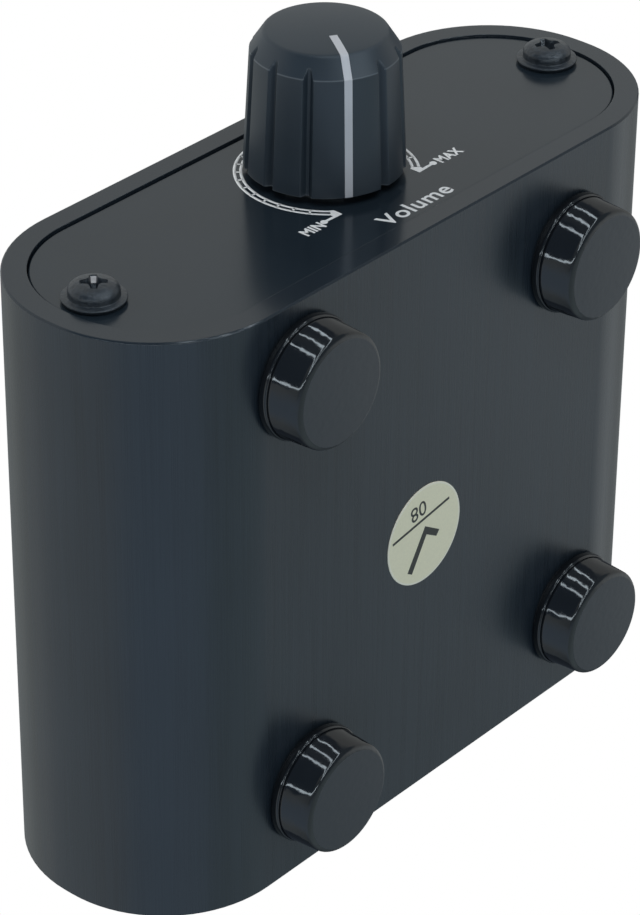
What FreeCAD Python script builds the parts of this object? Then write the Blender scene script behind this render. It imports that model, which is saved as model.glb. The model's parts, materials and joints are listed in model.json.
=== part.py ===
import FreeCAD, Part
import math
import os

# Passive studio monitor controller: an extruded aluminium sleeve with fully rounded sides, closed by a
# front panel with a volume knob and a rear panel with four phono sockets. It stands on four feet.
#
# Every piece is drawn in the sleeve's own frame, in millimetres: X to the right seen from the front,
# Y from the sleeve's front rim towards the rear, Z up from the sleeve's axis. export() then moves it so
# that the origin is under the middle of the whole object, where it stands.

V = FreeCAD.Vector
CENTRE = V(0, 0, 0)
ALONG_Y = V(0, 1, 0)
CUT_OVERRUN = 1.0           # how far a cutting tool passes the face that it opens
SAME = 1e-4                 # two lengths closer than this are the same

# Sleeve
CASE_WIDTH = 80.0
CASE_THICKNESS = 29.0
CASE_LENGTH = 66.5
WALL = 2.5
END_FLAT = 1.0              # straight stretch in the middle of each rounded side
RIM_CHAMFER = 0.15

# Panels, set back inside both ends of the sleeve
PANEL_RECESS = 0.25
PANEL_THICKNESS = 1.5
PANEL_GAP = 0.12            # between a panel's edge and the sleeve's bore
PANEL_CHAMFER = 0.15

# Panel screws, M3 with a washer face, in channels of the extrusion
SCREW_EDGE_GAP = 0.3        # between a screw's flange and the side of the sleeve's bore
SCREW_RADIUS = 1.5
SCREW_LENGTH = 9.0
SCREW_HEAD_RADIUS = 2.5
SCREW_HEAD_HEIGHT = 1.5
SCREW_FLANGE_WIDTH = 0.75   # how far the flange stands out past the head
SCREW_FLANGE_THICKNESS = 0.6
SCREW_CROWN_WIDTH = 0.85    # sloping ring round the flat top of the head
SCREW_CROWN_DROP = 0.6      # from the head's top down to its widest
SCREW_HOLE_CLEARANCE = 0.2  # radial, in the panel
THREAD_CLEARANCE = 0.05     # radial, screw in its channel
CHANNEL_WALL = 1.3
CHANNEL_SLOT = 1.3

# Feet, stuck on by hand: distance from the nearer side and from the nearer end
FOOT_PLACES = {
    "front_left": (18.8, 8.2),
    "front_right": (20.2, 11.7),
    "rear_left": (20.6, 9.9),
    "rear_right": (17.2, 9.7),
}
FOOT_HEIGHT = 5.0           # with its adhesive disc
FOOT_FLANGE_RADIUS = 6.4
FOOT_FLANGE_THICKNESS = 0.7
FOOT_FLANGE_WIDTH = 0.25    # how far the flange stands out past the body
FOOT_TAPER = 0.25           # how much smaller the body's radius is at its face
FOOT_EDGE_ROUND = 0.7
ADHESIVE_INSET = 0.4        # from the flange's edge to the adhesive's
ADHESIVE_THICKNESS = 0.25

# Inspection sticker on the underside
STICKER_RADIUS = 5.65
STICKER_THICKNESS = 0.12
STICKER_X = -2.4
STICKER_FROM_FRONT = 35.1

# Knob
KNOB_HEIGHT_OFFSET = 1.2    # knob axis above the sleeve's axis
KNOB_GAP = 1.0              # panel face to the knob's base
KNOB_HEIGHT = 14.4          # up to the edge of its top face
KNOB_DOME = 0.4             # how far the top face's middle stands over its edge
KNOB_BASE_RADIUS = 8.1
KNOB_SIDE_TAPER = 0.65      # how much the radius drops over the fluted side
KNOB_BEVEL_WIDTH = 1.35     # how much it drops over the bevel above
KNOB_BEVEL_HEIGHT = 2.05
KNOB_EDGE_ROUND = 0.6
KNOB_FLUTES = 12            # one of these places holds the pointer
FLUTE_WIDTH = 1.2           # at the knob's surface
FLUTE_FLOOR = 0.35          # width at the bottom
FLUTE_DEPTH = 0.65
KNOB_WALL = 1.8             # at the base, thinner inside with the cavity's draft
KNOB_CROWN = 2.0            # from the shaft's bore to the edge of the top face
KNOB_ROOF = 3.0             # from the cavity to the edge of the top face
CAVITY_DRAFT = 0.6          # how much narrower the cavity is at its roof
HUB_WALL = 1.4
HUB_RIBS = 4
HUB_RIB_THICKNESS = 1.0
POINTER_WIDTH = 0.8
POINTER_DEPTH = 0.35
POINTER_START = 2.4         # from the knob's axis, on the top face
POINTER_REST_ANGLE = 212.0  # clockwise from straight up: the pointer's place with the volume at nought

# Potentiometer
SHAFT_RADIUS = 3.0
SHAFT_FLAT = 1.5            # shaft axis to its flat
SHAFT_TIP_GAP = 0.3
HUB_CLEARANCE = 0.03        # knob and wiper bores round the shaft
BUSHING_CLEARANCE = 0.05    # bushing bore round the shaft: the running fit
BUSHING_WALL = 0.45
BUSHING_LENGTH = 6.0
BUSHING_CHAMFER = 0.3
BUSHING_HOLE_CLEARANCE = 0.1
BUSHING_PLATE_THICKNESS = 1.2
TURN_CLEARANCE = 0.35       # between what turns and what doesn't, inside the potentiometer
COLLAR_OVERHANG = 0.3       # how far the shaft's collar covers the end of the bushing
COLLAR_THICKNESS = 1.0
POT_SIDE_WALL = 0.75        # housing beside the collar's room
POT_EXTRA_HEIGHT = 1.4      # height of the body over its width
GANG_WALL = 0.6             # housing beside the room that the wiper turns in
GANG_DEPTH = 4.0
GANG_FLOOR = 0.8
ELEMENT_THICKNESS = 0.8
REAR_COVER_THICKNESS = 0.5
REAR_COVER_CLIP = 2.4       # how far the cover's side clips reach forward
REAR_COVER_CLIP_HEIGHT = 5.6
NUT_CAVITY_GAP = 0.53       # between the nut's corners and the knob's cavity
NUT_THICKNESS = 2.0
NUT_CLEARANCE = 0.05        # nut and washer round the bushing's thread
WASHER_OVERHANG = 0.2       # how far the washer stands out past the nut's flats
WASHER_THICKNESS = 0.5
SPINDLE_RADIUS = 1.9
WIPER_THICKNESS = 1.5
WIPER_NOTCH = 1.6
TERMINALS_PER_GANG = 3
TERMINAL_PITCH = 2.5
TERMINAL_WIDTH = 0.8
TERMINAL_THICKNESS = 0.4

# Circuit board, in slots of the extrusion
BOARD_THICKNESS = 1.6
BOARD_FLOOR_GAP = 3.2       # room for pins under the board
BOARD_SIDE_GAP = 0.5
BOARD_END_GAP = 0.4
BOARD_SLOT_GAP = 0.1
RAIL_THICKNESS = 1.2
RAIL_GRIP = 2.2             # how far each rail overlaps the board's edge
PIN_TAIL = 1.2              # how far pins reach below the board
PIN_HOLE_GAP = 0.15

# Phono sockets
SOCKETS = 4
SOCKET_SIDE_INSET = 19.0    # from the sleeve's side to the outer socket's axis
SOCKET_REACH = 8.6          # past the sleeve's rear rim
BARREL_RADIUS = 4.15
BARREL_WALL = 0.5
BARREL_SHOULDER = 0.2       # step down in radius where a barrel enters the rear panel
BARREL_SEAT = 3.0           # how deep a barrel sits in the housing
BARREL_SEAT_GAP = 0.05
INSULATOR_SETBACK = 0.9     # from the barrel's mouth
INSULATOR_GAP = 0.05
CONTACT_BORE_RADIUS = 1.65
CONTACT_WALL = 0.35
CONTACT_BORE_DEPTH = 8.0
CONTACT_SETBACK = 1.0       # from the barrel's mouth
HOUSING_DEPTH = 10.5
HOUSING_TOP_WALL = 2.05     # above the barrels and the fixing screws
HOUSING_SIDE_MARGIN = 6.8   # from the outer sockets' axes to the housing's sides
HOUSING_EDGE = 0.5
HOUSING_GROOVE = 1.2        # moulded groove between neighbouring sockets
PANEL_SOCKET_GAP = 0.3      # rear panel's hole round a barrel
SOCKET_PIN_WIDTH = 1.0
SOCKET_PIN_THICKNESS = 0.4
SIGNAL_PIN_SETBACK = 2.6    # behind the housing's front
GROUND_PIN_SETBACK = 7.9
GROUND_PIN_OFFSET = 3.5     # to the side of the socket's axis

# Screws that hold the socket row to the rear panel
FIXING_RADIUS = 1.1
FIXING_LENGTH = 7.0
FIXING_HEAD_RADIUS = 2.0
FIXING_HEAD_HEIGHT = 1.4
FIXING_HEAD_GAP = 0.85      # between a screw's head and the barrels on both sides
FIXING_CROWN_WIDTH = 0.6    # sloping ring round the flat top of the head
FIXING_CROWN_DROP = 0.6

# Worked out from the sizes above
CORNER_RADIUS = (CASE_THICKNESS - END_FLAT) / 2
SCREW_FLANGE_RADIUS = SCREW_HEAD_RADIUS + SCREW_FLANGE_WIDTH
SCREW_X = CASE_WIDTH / 2 - WALL - SCREW_EDGE_GAP - SCREW_FLANGE_RADIUS
PANEL_FACE = PANEL_RECESS
PANEL_BACK = PANEL_RECESS + PANEL_THICKNESS
REAR_PANEL_FACE = CASE_LENGTH - PANEL_FACE
REAR_PANEL_BACK = CASE_LENGTH - PANEL_BACK
FOOT_WAIST_RADIUS = FOOT_FLANGE_RADIUS - FOOT_FLANGE_WIDTH
KNOB_Z = KNOB_HEIGHT_OFFSET
KNOB_BASE = PANEL_FACE - KNOB_GAP
KNOB_TOP = KNOB_BASE - KNOB_HEIGHT
KNOB_APEX = KNOB_TOP - KNOB_DOME
KNOB_LAND_RADIUS = KNOB_BASE_RADIUS - KNOB_SIDE_TAPER
KNOB_TOP_RADIUS = KNOB_LAND_RADIUS - KNOB_BEVEL_WIDTH
CAVITY_RADIUS = KNOB_BASE_RADIUS - KNOB_WALL
BUSHING_RADIUS = SHAFT_RADIUS + BUSHING_CLEARANCE + BUSHING_WALL
NUT_CORNER_RADIUS = CAVITY_RADIUS - NUT_CAVITY_GAP
WASHER_RADIUS = NUT_CORNER_RADIUS * math.cos(math.radians(30)) + WASHER_OVERHANG
COLLAR_RADIUS = BUSHING_RADIUS + COLLAR_OVERHANG
POT_WIDTH = 2 * (COLLAR_RADIUS + TURN_CLEARANCE + POT_SIDE_WALL)
POT_HEIGHT = POT_WIDTH + POT_EXTRA_HEIGHT
GANG_CAVITY_RADIUS = POT_WIDTH / 2 - GANG_WALL
BUSHING_FRONT = PANEL_BACK - BUSHING_LENGTH
HUB_BASE = BUSHING_FRONT - TURN_CLEARANCE
FLAT_END = HUB_BASE + TURN_CLEARANCE / 2
BORE_END = KNOB_TOP + KNOB_CROWN
SHAFT_TIP = BORE_END + SHAFT_TIP_GAP
FRONT_GANG = PANEL_BACK + BUSHING_PLATE_THICKNESS
FRONT_ELEMENT = FRONT_GANG + GANG_DEPTH
REAR_GANG = FRONT_ELEMENT + ELEMENT_THICKNESS
REAR_ELEMENT = REAR_GANG + GANG_DEPTH
POT_BACK = REAR_ELEMENT + ELEMENT_THICKNESS
BOARD_BOTTOM = WALL - CASE_THICKNESS / 2 + BOARD_FLOOR_GAP
BOARD_TOP = BOARD_BOTTOM + BOARD_THICKNESS
BARREL_MOUTH = CASE_LENGTH + SOCKET_REACH
BARREL_ROOT = REAR_PANEL_BACK - BARREL_SEAT
CONTACT_RADIUS = CONTACT_BORE_RADIUS + CONTACT_WALL
SOCKET_PITCH = (CASE_WIDTH - 2 * SOCKET_SIDE_INSET) / (SOCKETS - 1)
SOCKET_XS = [(i - (SOCKETS - 1) / 2) * SOCKET_PITCH for i in range(SOCKETS)]
# Each fixing screw is between two sockets, and as far above their row as its head needs to clear both.
FIXING_XS = [(SOCKET_XS[0] + SOCKET_XS[1]) / 2, (SOCKET_XS[-2] + SOCKET_XS[-1]) / 2]
FIXING_REACH = BARREL_RADIUS + FIXING_HEAD_GAP + FIXING_HEAD_RADIUS
FIXING_Z = math.sqrt(max(FIXING_REACH ** 2 - (SOCKET_PITCH / 2) ** 2, 0.0))
HOUSING_TOP = max(BARREL_RADIUS, FIXING_Z + FIXING_RADIUS) + HOUSING_TOP_WALL
HOUSING_HALF_WIDTH = SOCKET_XS[-1] + HOUSING_SIDE_MARGIN
FRONT_Y = -(KNOB_APEX + BARREL_MOUTH) / 2
AXIS_Z = FOOT_HEIGHT + CASE_THICKNESS / 2


# ---------------------------------------------------------------- shapes

def rounded_bar(width, thickness, radius, y_start, y_end):
    """A bar along Y whose section is a rectangle with round corners."""
    flat_x = width / 2 - radius
    flat_z = thickness / 2 - radius
    corners = [(flat_x, flat_z, 0), (-flat_x, flat_z, 90), (-flat_x, -flat_z, 180), (flat_x, -flat_z, 270)]

    def on_corner(x, z, degrees):
        turn = math.radians(degrees)
        return V(x + radius * math.cos(turn), y_start, z + radius * math.sin(turn))

    arcs = [[on_corner(x, z, start + step) for step in (0, 45, 90)] for x, z, start in corners]
    edges = []
    for arc, following in zip(arcs, arcs[1:] + arcs[:1]):
        edges.append(Part.Arc(*arc).toShape())
        if (arc[2] - following[0]).Length > SAME:
            edges.append(Part.makeLine(arc[2], following[0]))
    return Part.Face(Part.Wire(edges)).extrude(V(0, y_end - y_start, 0))


def rod(radius, y_start, y_end, x=0.0, z=0.0):
    """A cylinder along Y."""
    return Part.makeCylinder(radius, y_end - y_start, V(x, y_start, z), ALONG_Y)


def ring(outer, inner, y_start, y_end, x=0.0, z=0.0):
    """A tube along Y."""
    bore = rod(inner, y_start - CUT_OVERRUN, y_end + CUT_OVERRUN, x, z)
    return rod(outer, y_start, y_end, x, z).cut(bore)


def block(x_range, y_range, z_range):
    """A box between two values on each axis."""
    (x0, x1), (y0, y1), (z0, z1) = x_range, y_range, z_range
    return Part.makeBox(x1 - x0, y1 - y0, z1 - z0, V(x0, y0, z0))


def turned(profile, x=0.0, z=0.0):
    """A solid of revolution about a line along Y, from (radius, y) points."""
    points = [V(x + radius, y, z) for radius, y in profile]
    face = Part.Face(Part.makePolygon(points + points[:1]))
    return face.revolve(V(x, 0, z), ALONG_Y, 360)


def circles_at(shape, y, radius):
    """The circular edges of a shape round a line along Y, at one Y and of one radius."""
    drawn = [edge for edge in shape.Edges if not edge.Degenerated]
    round_edges = [edge for edge in drawn if isinstance(edge.Curve, Part.Circle)]
    return [edge for edge in round_edges
            if abs(edge.Curve.Radius - radius) < SAME and abs(edge.Curve.Center.y - y) < SAME]


def edges_on_plane(shape, y):
    """The edges of a shape that lie in one plane of constant Y."""
    return [edge for edge in shape.Edges if all(abs(vertex.Point.y - y) < SAME for vertex in edge.Vertexes)]


def outer_rim(shape, y):
    """The edges of a shape's outermost outline in one plane of constant Y."""
    faces = [face for face in shape.Faces if all(abs(vertex.Point.y - y) < SAME for vertex in face.Vertexes)]
    largest = max(faces, key=lambda face: face.OuterWire.BoundBox.DiagonalLength)
    return largest.OuterWire.Edges


def inside_sleeve(gap, y_start, y_end):
    """The bar that fills the sleeve's bore, less a gap all round."""
    inset = WALL + gap
    width = CASE_WIDTH - 2 * inset
    return rounded_bar(width, CASE_THICKNESS - 2 * inset, CORNER_RADIUS - inset, y_start, y_end)


def bore_half_width(z):
    """Half the width of the sleeve's bore at a height above or below its axis."""
    radius = CORNER_RADIUS - WALL
    centre_x = CASE_WIDTH / 2 - CORNER_RADIUS
    rise = max(abs(z) - END_FLAT / 2, 0.0)
    return centre_x + math.sqrt(radius ** 2 - rise ** 2)


def fused(shapes):
    """Several shapes as one clean solid."""
    first, *others = shapes
    return first.multiFuse(others).removeSplitter()


def group(shapes):
    """Several separate solids as one shape."""
    return Part.makeCompound(shapes)


# ---------------------------------------------------------------- case

def case_sleeve():
    """Extrusion with screw channels and board rails, milled back at both ends for the panels."""
    sleeve = rounded_bar(CASE_WIDTH, CASE_THICKNESS, CORNER_RADIUS, 0, CASE_LENGTH)
    rims = outer_rim(sleeve, 0) + outer_rim(sleeve, CASE_LENGTH)
    sleeve = sleeve.makeChamfer(RIM_CHAMFER, rims)
    sleeve = sleeve.cut(inside_sleeve(0, -CUT_OVERRUN, CASE_LENGTH + CUT_OVERRUN))
    into_wall = inside_sleeve(-WALL / 2, PANEL_BACK, REAR_PANEL_BACK)
    inner = []
    for side in (-1, 1):
        inner.append(screw_channel(side))
        inner += board_rails(side)
    return fused([sleeve] + [piece.common(into_wall) for piece in inner])


def screw_channel(side):
    """Round channel for the panel screws, on a web from the rounded side, slotted towards the middle."""
    bore = SCREW_RADIUS + THREAD_CLEARANCE
    x = side * SCREW_X
    web_x = sorted((x, side * CASE_WIDTH / 2))
    web_half = bore + CHANNEL_WALL / 2
    slot_x = sorted((x, x - side * (bore + 2 * CHANNEL_WALL)))
    span = (PANEL_BACK, REAR_PANEL_BACK)
    channel = rod(bore + CHANNEL_WALL, *span, x=x).fuse(block(web_x, span, (-web_half, web_half)))
    channel = channel.cut(rod(bore, *span, x=x))
    return channel.cut(block(slot_x, span, (-CHANNEL_SLOT / 2, CHANNEL_SLOT / 2)))


def board_rails(side):
    """The two ribs that hold one edge of the circuit board between them."""
    tip = side * (board_half_width() - RAIL_GRIP)
    x_range = sorted((tip, side * CASE_WIDTH / 2))
    span = (PANEL_BACK, REAR_PANEL_BACK)
    above = BOARD_TOP + BOARD_SLOT_GAP
    below = BOARD_BOTTOM - BOARD_SLOT_GAP
    return [
        block(x_range, span, (above, above + RAIL_THICKNESS)),
        block(x_range, span, (below - RAIL_THICKNESS, below)),
    ]


def panel(face, back, holes):
    """Plate in the shape of the sleeve's bore, with its face's edge broken and the holes cut."""
    plate = inside_sleeve(PANEL_GAP, min(face, back), max(face, back))
    plate = plate.makeChamfer(PANEL_CHAMFER, outer_rim(plate, face))
    screw_hole = SCREW_RADIUS + SCREW_HOLE_CLEARANCE
    holes = holes + [(screw_hole, -SCREW_X, 0.0), (screw_hole, SCREW_X, 0.0)]
    span = (min(face, back) - CUT_OVERRUN, max(face, back) + CUT_OVERRUN)
    return plate.cut([rod(radius, *span, x=x, z=z) for radius, x, z in holes])


def front_panel():
    return panel(PANEL_FACE, PANEL_BACK, [(BUSHING_RADIUS + BUSHING_HOLE_CLEARANCE, 0.0, KNOB_Z)])


def rear_panel():
    sockets = [(BARREL_RADIUS + PANEL_SOCKET_GAP, x, 0.0) for x in SOCKET_XS]
    fixings = [(FIXING_RADIUS + SCREW_HOLE_CLEARANCE, x, FIXING_Z) for x in FIXING_XS]
    return panel(REAR_PANEL_FACE, REAR_PANEL_BACK, sockets + fixings)


def panel_screw(x, seat, inwards):
    """Pan-head screw with a washer face under its head; inwards is +1 or -1 along Y."""
    flange_top = seat - inwards * SCREW_FLANGE_THICKNESS
    head_top = flange_top - inwards * SCREW_HEAD_HEIGHT
    return turned([
        (0, head_top),
        (SCREW_HEAD_RADIUS - SCREW_CROWN_WIDTH, head_top),
        (SCREW_HEAD_RADIUS, head_top + inwards * SCREW_CROWN_DROP),
        (SCREW_HEAD_RADIUS, flange_top),
        (SCREW_FLANGE_RADIUS, flange_top),
        (SCREW_FLANGE_RADIUS, seat),
        (SCREW_RADIUS, seat),
        (SCREW_RADIUS, seat + inwards * SCREW_LENGTH),
        (0, seat + inwards * SCREW_LENGTH),
    ], x=x)


def front_panel_screws():
    return group([panel_screw(side * SCREW_X, PANEL_FACE, 1) for side in (-1, 1)])


def rear_panel_screws():
    return group([panel_screw(side * SCREW_X, REAR_PANEL_FACE, -1) for side in (-1, 1)])


# ---------------------------------------------------------------- underside

def foot_centre(place):
    """Where a foot's axis meets the underside, from the two distances it was stuck on at."""
    from_side, from_end = FOOT_PLACES[place]
    x = CASE_WIDTH / 2 - from_side
    y = from_end if place.startswith("front") else CASE_LENGTH - from_end
    return (-x if place.endswith("left") else x), y


def foot(place):
    """Moulded foot: a flange, a slightly tapered body and a flat face with a rounded edge."""
    x, y = foot_centre(place)
    top = -CASE_THICKNESS / 2 - ADHESIVE_THICKNESS
    flange_base = top - FOOT_FLANGE_THICKNESS
    face = -CASE_THICKNESS / 2 - FOOT_HEIGHT
    flange = Part.makeCylinder(FOOT_FLANGE_RADIUS, FOOT_FLANGE_THICKNESS, V(x, y, flange_base))
    face_radius = FOOT_WAIST_RADIUS - FOOT_TAPER
    body = Part.makeCone(face_radius, FOOT_WAIST_RADIUS, flange_base - face, V(x, y, face))
    face_edges = [edge for edge in body.Edges if all(abs(v.Point.z - face) < SAME for v in edge.Vertexes)]
    body = body.makeFillet(FOOT_EDGE_ROUND, face_edges)
    return fused([flange, body])


def foot_adhesives():
    """The thin adhesive discs between the feet and the sleeve."""
    top = -CASE_THICKNESS / 2 - ADHESIVE_THICKNESS
    radius = FOOT_FLANGE_RADIUS - ADHESIVE_INSET
    return group([Part.makeCylinder(radius, ADHESIVE_THICKNESS, V(*foot_centre(place), top))
                  for place in FOOT_PLACES])


def inspection_sticker():
    base = V(STICKER_X, STICKER_FROM_FRONT, -CASE_THICKNESS / 2 - STICKER_THICKNESS)
    return Part.makeCylinder(STICKER_RADIUS, STICKER_THICKNESS, base)


# ---------------------------------------------------------------- knob

def knob_outline(inset=0.0):
    """The knob's outside as a solid of revolution, its skin moved inwards by an inset."""
    rim = V(KNOB_TOP_RADIUS - inset / 2, KNOB_TOP + inset, 0)
    apex = V(0, KNOB_APEX + inset, 0)
    dome_radius = (rim.x ** 2 + KNOB_DOME ** 2) / (2 * KNOB_DOME)
    halfway = V(rim.x / 2, apex.y + dome_radius - math.sqrt(dome_radius ** 2 - rim.x ** 2 / 4), 0)
    sides = Part.makePolygon([
        apex,
        V(0, KNOB_BASE, 0),
        V(KNOB_BASE_RADIUS - inset, KNOB_BASE, 0),
        V(KNOB_LAND_RADIUS - inset, KNOB_TOP + KNOB_BEVEL_HEIGHT + inset / 2, 0),
        rim,
    ])
    outline = Part.Wire(sides.Edges + [Part.Arc(rim, halfway, apex).toShape()])
    return Part.Face(outline).revolve(CENTRE, ALONG_Y, 360)


def rounded_knob_outline():
    """The knob's outside with the edge of its top face softened."""
    body = knob_outline()
    return body.makeFillet(KNOB_EDGE_ROUND, circles_at(body, KNOB_TOP, KNOB_TOP_RADIUS))


def flute():
    """Cutter with sloping sides that narrows as the knob's side does and runs out on the bevel."""
    taper = KNOB_SIDE_TAPER / (KNOB_HEIGHT - KNOB_BEVEL_HEIGHT)
    slope = (FLUTE_WIDTH - FLUTE_FLOOR) / 2 / FLUTE_DEPTH
    outline = [(FLUTE_FLOOR / 2, -FLUTE_DEPTH), (FLUTE_WIDTH / 2 + slope * CUT_OVERRUN, CUT_OVERRUN)]
    outline += [(-x, rise) for x, rise in reversed(outline)]
    sections = []
    for y in (KNOB_BASE + CUT_OVERRUN, KNOB_APEX - CUT_OVERRUN):
        surface = KNOB_BASE_RADIUS + taper * (y - KNOB_BASE)
        scale = surface / KNOB_BASE_RADIUS
        points = [V(x * scale, y, surface + rise * scale) for x, rise in outline]
        sections.append(Part.makePolygon(points + points[:1]))
    return Part.makeLoft(sections, True, True)


def pointer_strip():
    """The pointer's inlay: over the top face, down the bevel and down the side."""
    shell = rounded_knob_outline().cut(knob_outline(POINTER_DEPTH))
    half = POINTER_WIDTH / 2
    slab = block((-half, half), (KNOB_TOP - CUT_OVERRUN, KNOB_BASE),
                 (POINTER_START, KNOB_BASE_RADIUS + CUT_OVERRUN))
    return shell.common(slab)


def knob_cavity():
    """The moulded hollow in the knob, round a hub on ribs that stops short of the bushing and nut."""
    roof = KNOB_TOP + KNOB_ROOF
    mouth = KNOB_BASE + CUT_OVERRUN
    cavity = turned([(0, mouth), (CAVITY_RADIUS, mouth), (CAVITY_RADIUS, KNOB_BASE),
                     (CAVITY_RADIUS - CAVITY_DRAFT, roof), (0, roof)])
    hub_span = (roof - CUT_OVERRUN, HUB_BASE)
    kept = [rod(SHAFT_RADIUS + HUB_CLEARANCE + HUB_WALL, *hub_span)]
    rib_half = HUB_RIB_THICKNESS / 2
    for i in range(HUB_RIBS):
        rib = block((0, KNOB_BASE_RADIUS), hub_span, (-rib_half, rib_half))
        rib.rotate(CENTRE, ALONG_Y, 360 / HUB_RIBS * (i + 0.5))
        kept.append(rib)
    return cavity.cut(kept)


def shaft_section(radius, flat, y_start, y_end):
    """A rod along Y with one flat, facing away from the pointer."""
    limit = radius + CUT_OVERRUN
    away = block((-limit, limit), (y_start - CUT_OVERRUN, y_end + CUT_OVERRUN), (-limit, -flat))
    return rod(radius, y_start, y_end).cut(away)


def turn_to_rest(shape):
    """Turn a piece drawn with the pointer straight up to its rest, and lift it onto the knob's axis."""
    shape.rotate(CENTRE, ALONG_Y, POINTER_REST_ANGLE)
    shape.translate(V(0, 0, KNOB_Z))
    return shape


def knob():
    body = rounded_knob_outline()
    flutes = []
    for i in range(1, KNOB_FLUTES):
        cutter = flute()
        cutter.rotate(CENTRE, ALONG_Y, 360 / KNOB_FLUTES * i)
        flutes.append(cutter)
    body = body.cut(flutes)
    body = body.cut(knob_cavity())
    bore = shaft_section(SHAFT_RADIUS + HUB_CLEARANCE, SHAFT_FLAT + HUB_CLEARANCE,
                         BORE_END, HUB_BASE + CUT_OVERRUN)
    body = body.cut(bore).cut(pointer_strip())
    return turn_to_rest(body)


def knob_pointer():
    return turn_to_rest(pointer_strip())


# ---------------------------------------------------------------- potentiometer

def pot_slice(y_start, y_end):
    """A square-cut slice of the potentiometer's body, round the knob's axis."""
    half = POT_HEIGHT / 2
    return block((-POT_WIDTH / 2, POT_WIDTH / 2), (y_start, y_end), (KNOB_Z - half, KNOB_Z + half))


def on_knob_axis(radius, y_start, y_end):
    return rod(radius, y_start, y_end, z=KNOB_Z)


def pot_bushing():
    """Die-cast front plate with the threaded bushing that the shaft turns in."""
    bore = SHAFT_RADIUS + BUSHING_CLEARANCE
    neck = on_knob_axis(BUSHING_RADIUS, BUSHING_FRONT, PANEL_BACK + BUSHING_PLATE_THICKNESS / 2)
    neck = neck.makeChamfer(BUSHING_CHAMFER, circles_at(neck, BUSHING_FRONT, BUSHING_RADIUS))
    plate = pot_slice(PANEL_BACK, FRONT_GANG)
    hole = on_knob_axis(bore, BUSHING_FRONT - CUT_OVERRUN, FRONT_GANG + CUT_OVERRUN)
    return fused([neck, plate]).cut(hole)


def pot_washer():
    """Lock washer with internal teeth, between the panel and the nut."""
    bore = BUSHING_RADIUS + NUT_CLEARANCE
    return ring(WASHER_RADIUS, bore, PANEL_FACE - WASHER_THICKNESS, PANEL_FACE, z=KNOB_Z)


def pot_nut():
    """Hexagon nut on the bushing."""
    back = PANEL_FACE - WASHER_THICKNESS
    turns = [math.radians(60 * i) for i in range(7)]
    points = [V(NUT_CORNER_RADIUS * math.cos(turn), back, KNOB_Z + NUT_CORNER_RADIUS * math.sin(turn))
              for turn in turns]
    prism = Part.Face(Part.makePolygon(points)).extrude(V(0, -NUT_THICKNESS, 0))
    bore_front = back - NUT_THICKNESS - CUT_OVERRUN
    return prism.cut(on_knob_axis(BUSHING_RADIUS + NUT_CLEARANCE, bore_front, back + CUT_OVERRUN))


def gang_housing(y_start):
    """One gang's moulded housing, open behind, where its wiper turns."""
    housing = pot_slice(y_start, y_start + GANG_DEPTH)
    floor = y_start + GANG_FLOOR
    cavity = on_knob_axis(GANG_CAVITY_RADIUS, floor, y_start + GANG_DEPTH + CUT_OVERRUN)
    passage = on_knob_axis(SPINDLE_RADIUS + TURN_CLEARANCE, y_start - CUT_OVERRUN, floor + CUT_OVERRUN)
    return housing.cut([cavity, passage])


def pot_housing_front():
    """The front gang's housing, which also gives room to the shaft's collar."""
    depth = BUSHING_CLEARANCE + COLLAR_THICKNESS + TURN_CLEARANCE
    room = on_knob_axis(COLLAR_RADIUS + TURN_CLEARANCE, FRONT_GANG - CUT_OVERRUN, FRONT_GANG + depth)
    return gang_housing(FRONT_GANG).cut(room)


def pot_housing_rear():
    return gang_housing(REAR_GANG)


def resistance_element(y_start, open_centre):
    """Wafer that carries a gang's track; the front one lets the spindle through."""
    wafer = pot_slice(y_start, y_start + ELEMENT_THICKNESS)
    if open_centre:
        through = (y_start - CUT_OVERRUN, y_start + ELEMENT_THICKNESS + CUT_OVERRUN)
        wafer = wafer.cut(on_knob_axis(SPINDLE_RADIUS + TURN_CLEARANCE, *through))
    return wafer


def pot_element_front():
    return resistance_element(FRONT_ELEMENT, True)


def pot_element_rear():
    return resistance_element(REAR_ELEMENT, False)


def pot_rear_cover():
    """Sheet-metal back with a clip folded forward along each side."""
    cover = pot_slice(POT_BACK, POT_BACK + REAR_COVER_THICKNESS)
    inner = POT_WIDTH / 2
    outer = inner + REAR_COVER_THICKNESS
    clip_half = REAR_COVER_CLIP_HEIGHT / 2
    pieces = [cover]
    for side in (-1, 1):
        x_range = sorted((side * inner, side * outer))
        z_range = (KNOB_Z - clip_half, KNOB_Z + clip_half)
        pieces.append(block(x_range, (POT_BACK - REAR_COVER_CLIP, POT_BACK + REAR_COVER_THICKNESS), z_range))
    return fused(pieces)


def wiper_seat(gang_start):
    """Where a gang's wiper starts, clear of its housing and of its wafer."""
    return gang_start + GANG_DEPTH - TURN_CLEARANCE - WIPER_THICKNESS


def pot_shaft():
    """The knob's shaft: flatted end, collar behind the bushing and a thin spindle through both gangs."""
    collar_front = FRONT_GANG + BUSHING_CLEARANCE
    spindle_end = wiper_seat(REAR_GANG) + WIPER_THICKNESS
    grip = shaft_section(SHAFT_RADIUS, SHAFT_FLAT, SHAFT_TIP, FLAT_END)
    stem = rod(SHAFT_RADIUS, FLAT_END, collar_front)
    collar = rod(COLLAR_RADIUS, collar_front, collar_front + COLLAR_THICKNESS)
    spindle = rod(SPINDLE_RADIUS, collar_front, spindle_end)
    return turn_to_rest(fused([grip, stem, collar, spindle]))


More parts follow.
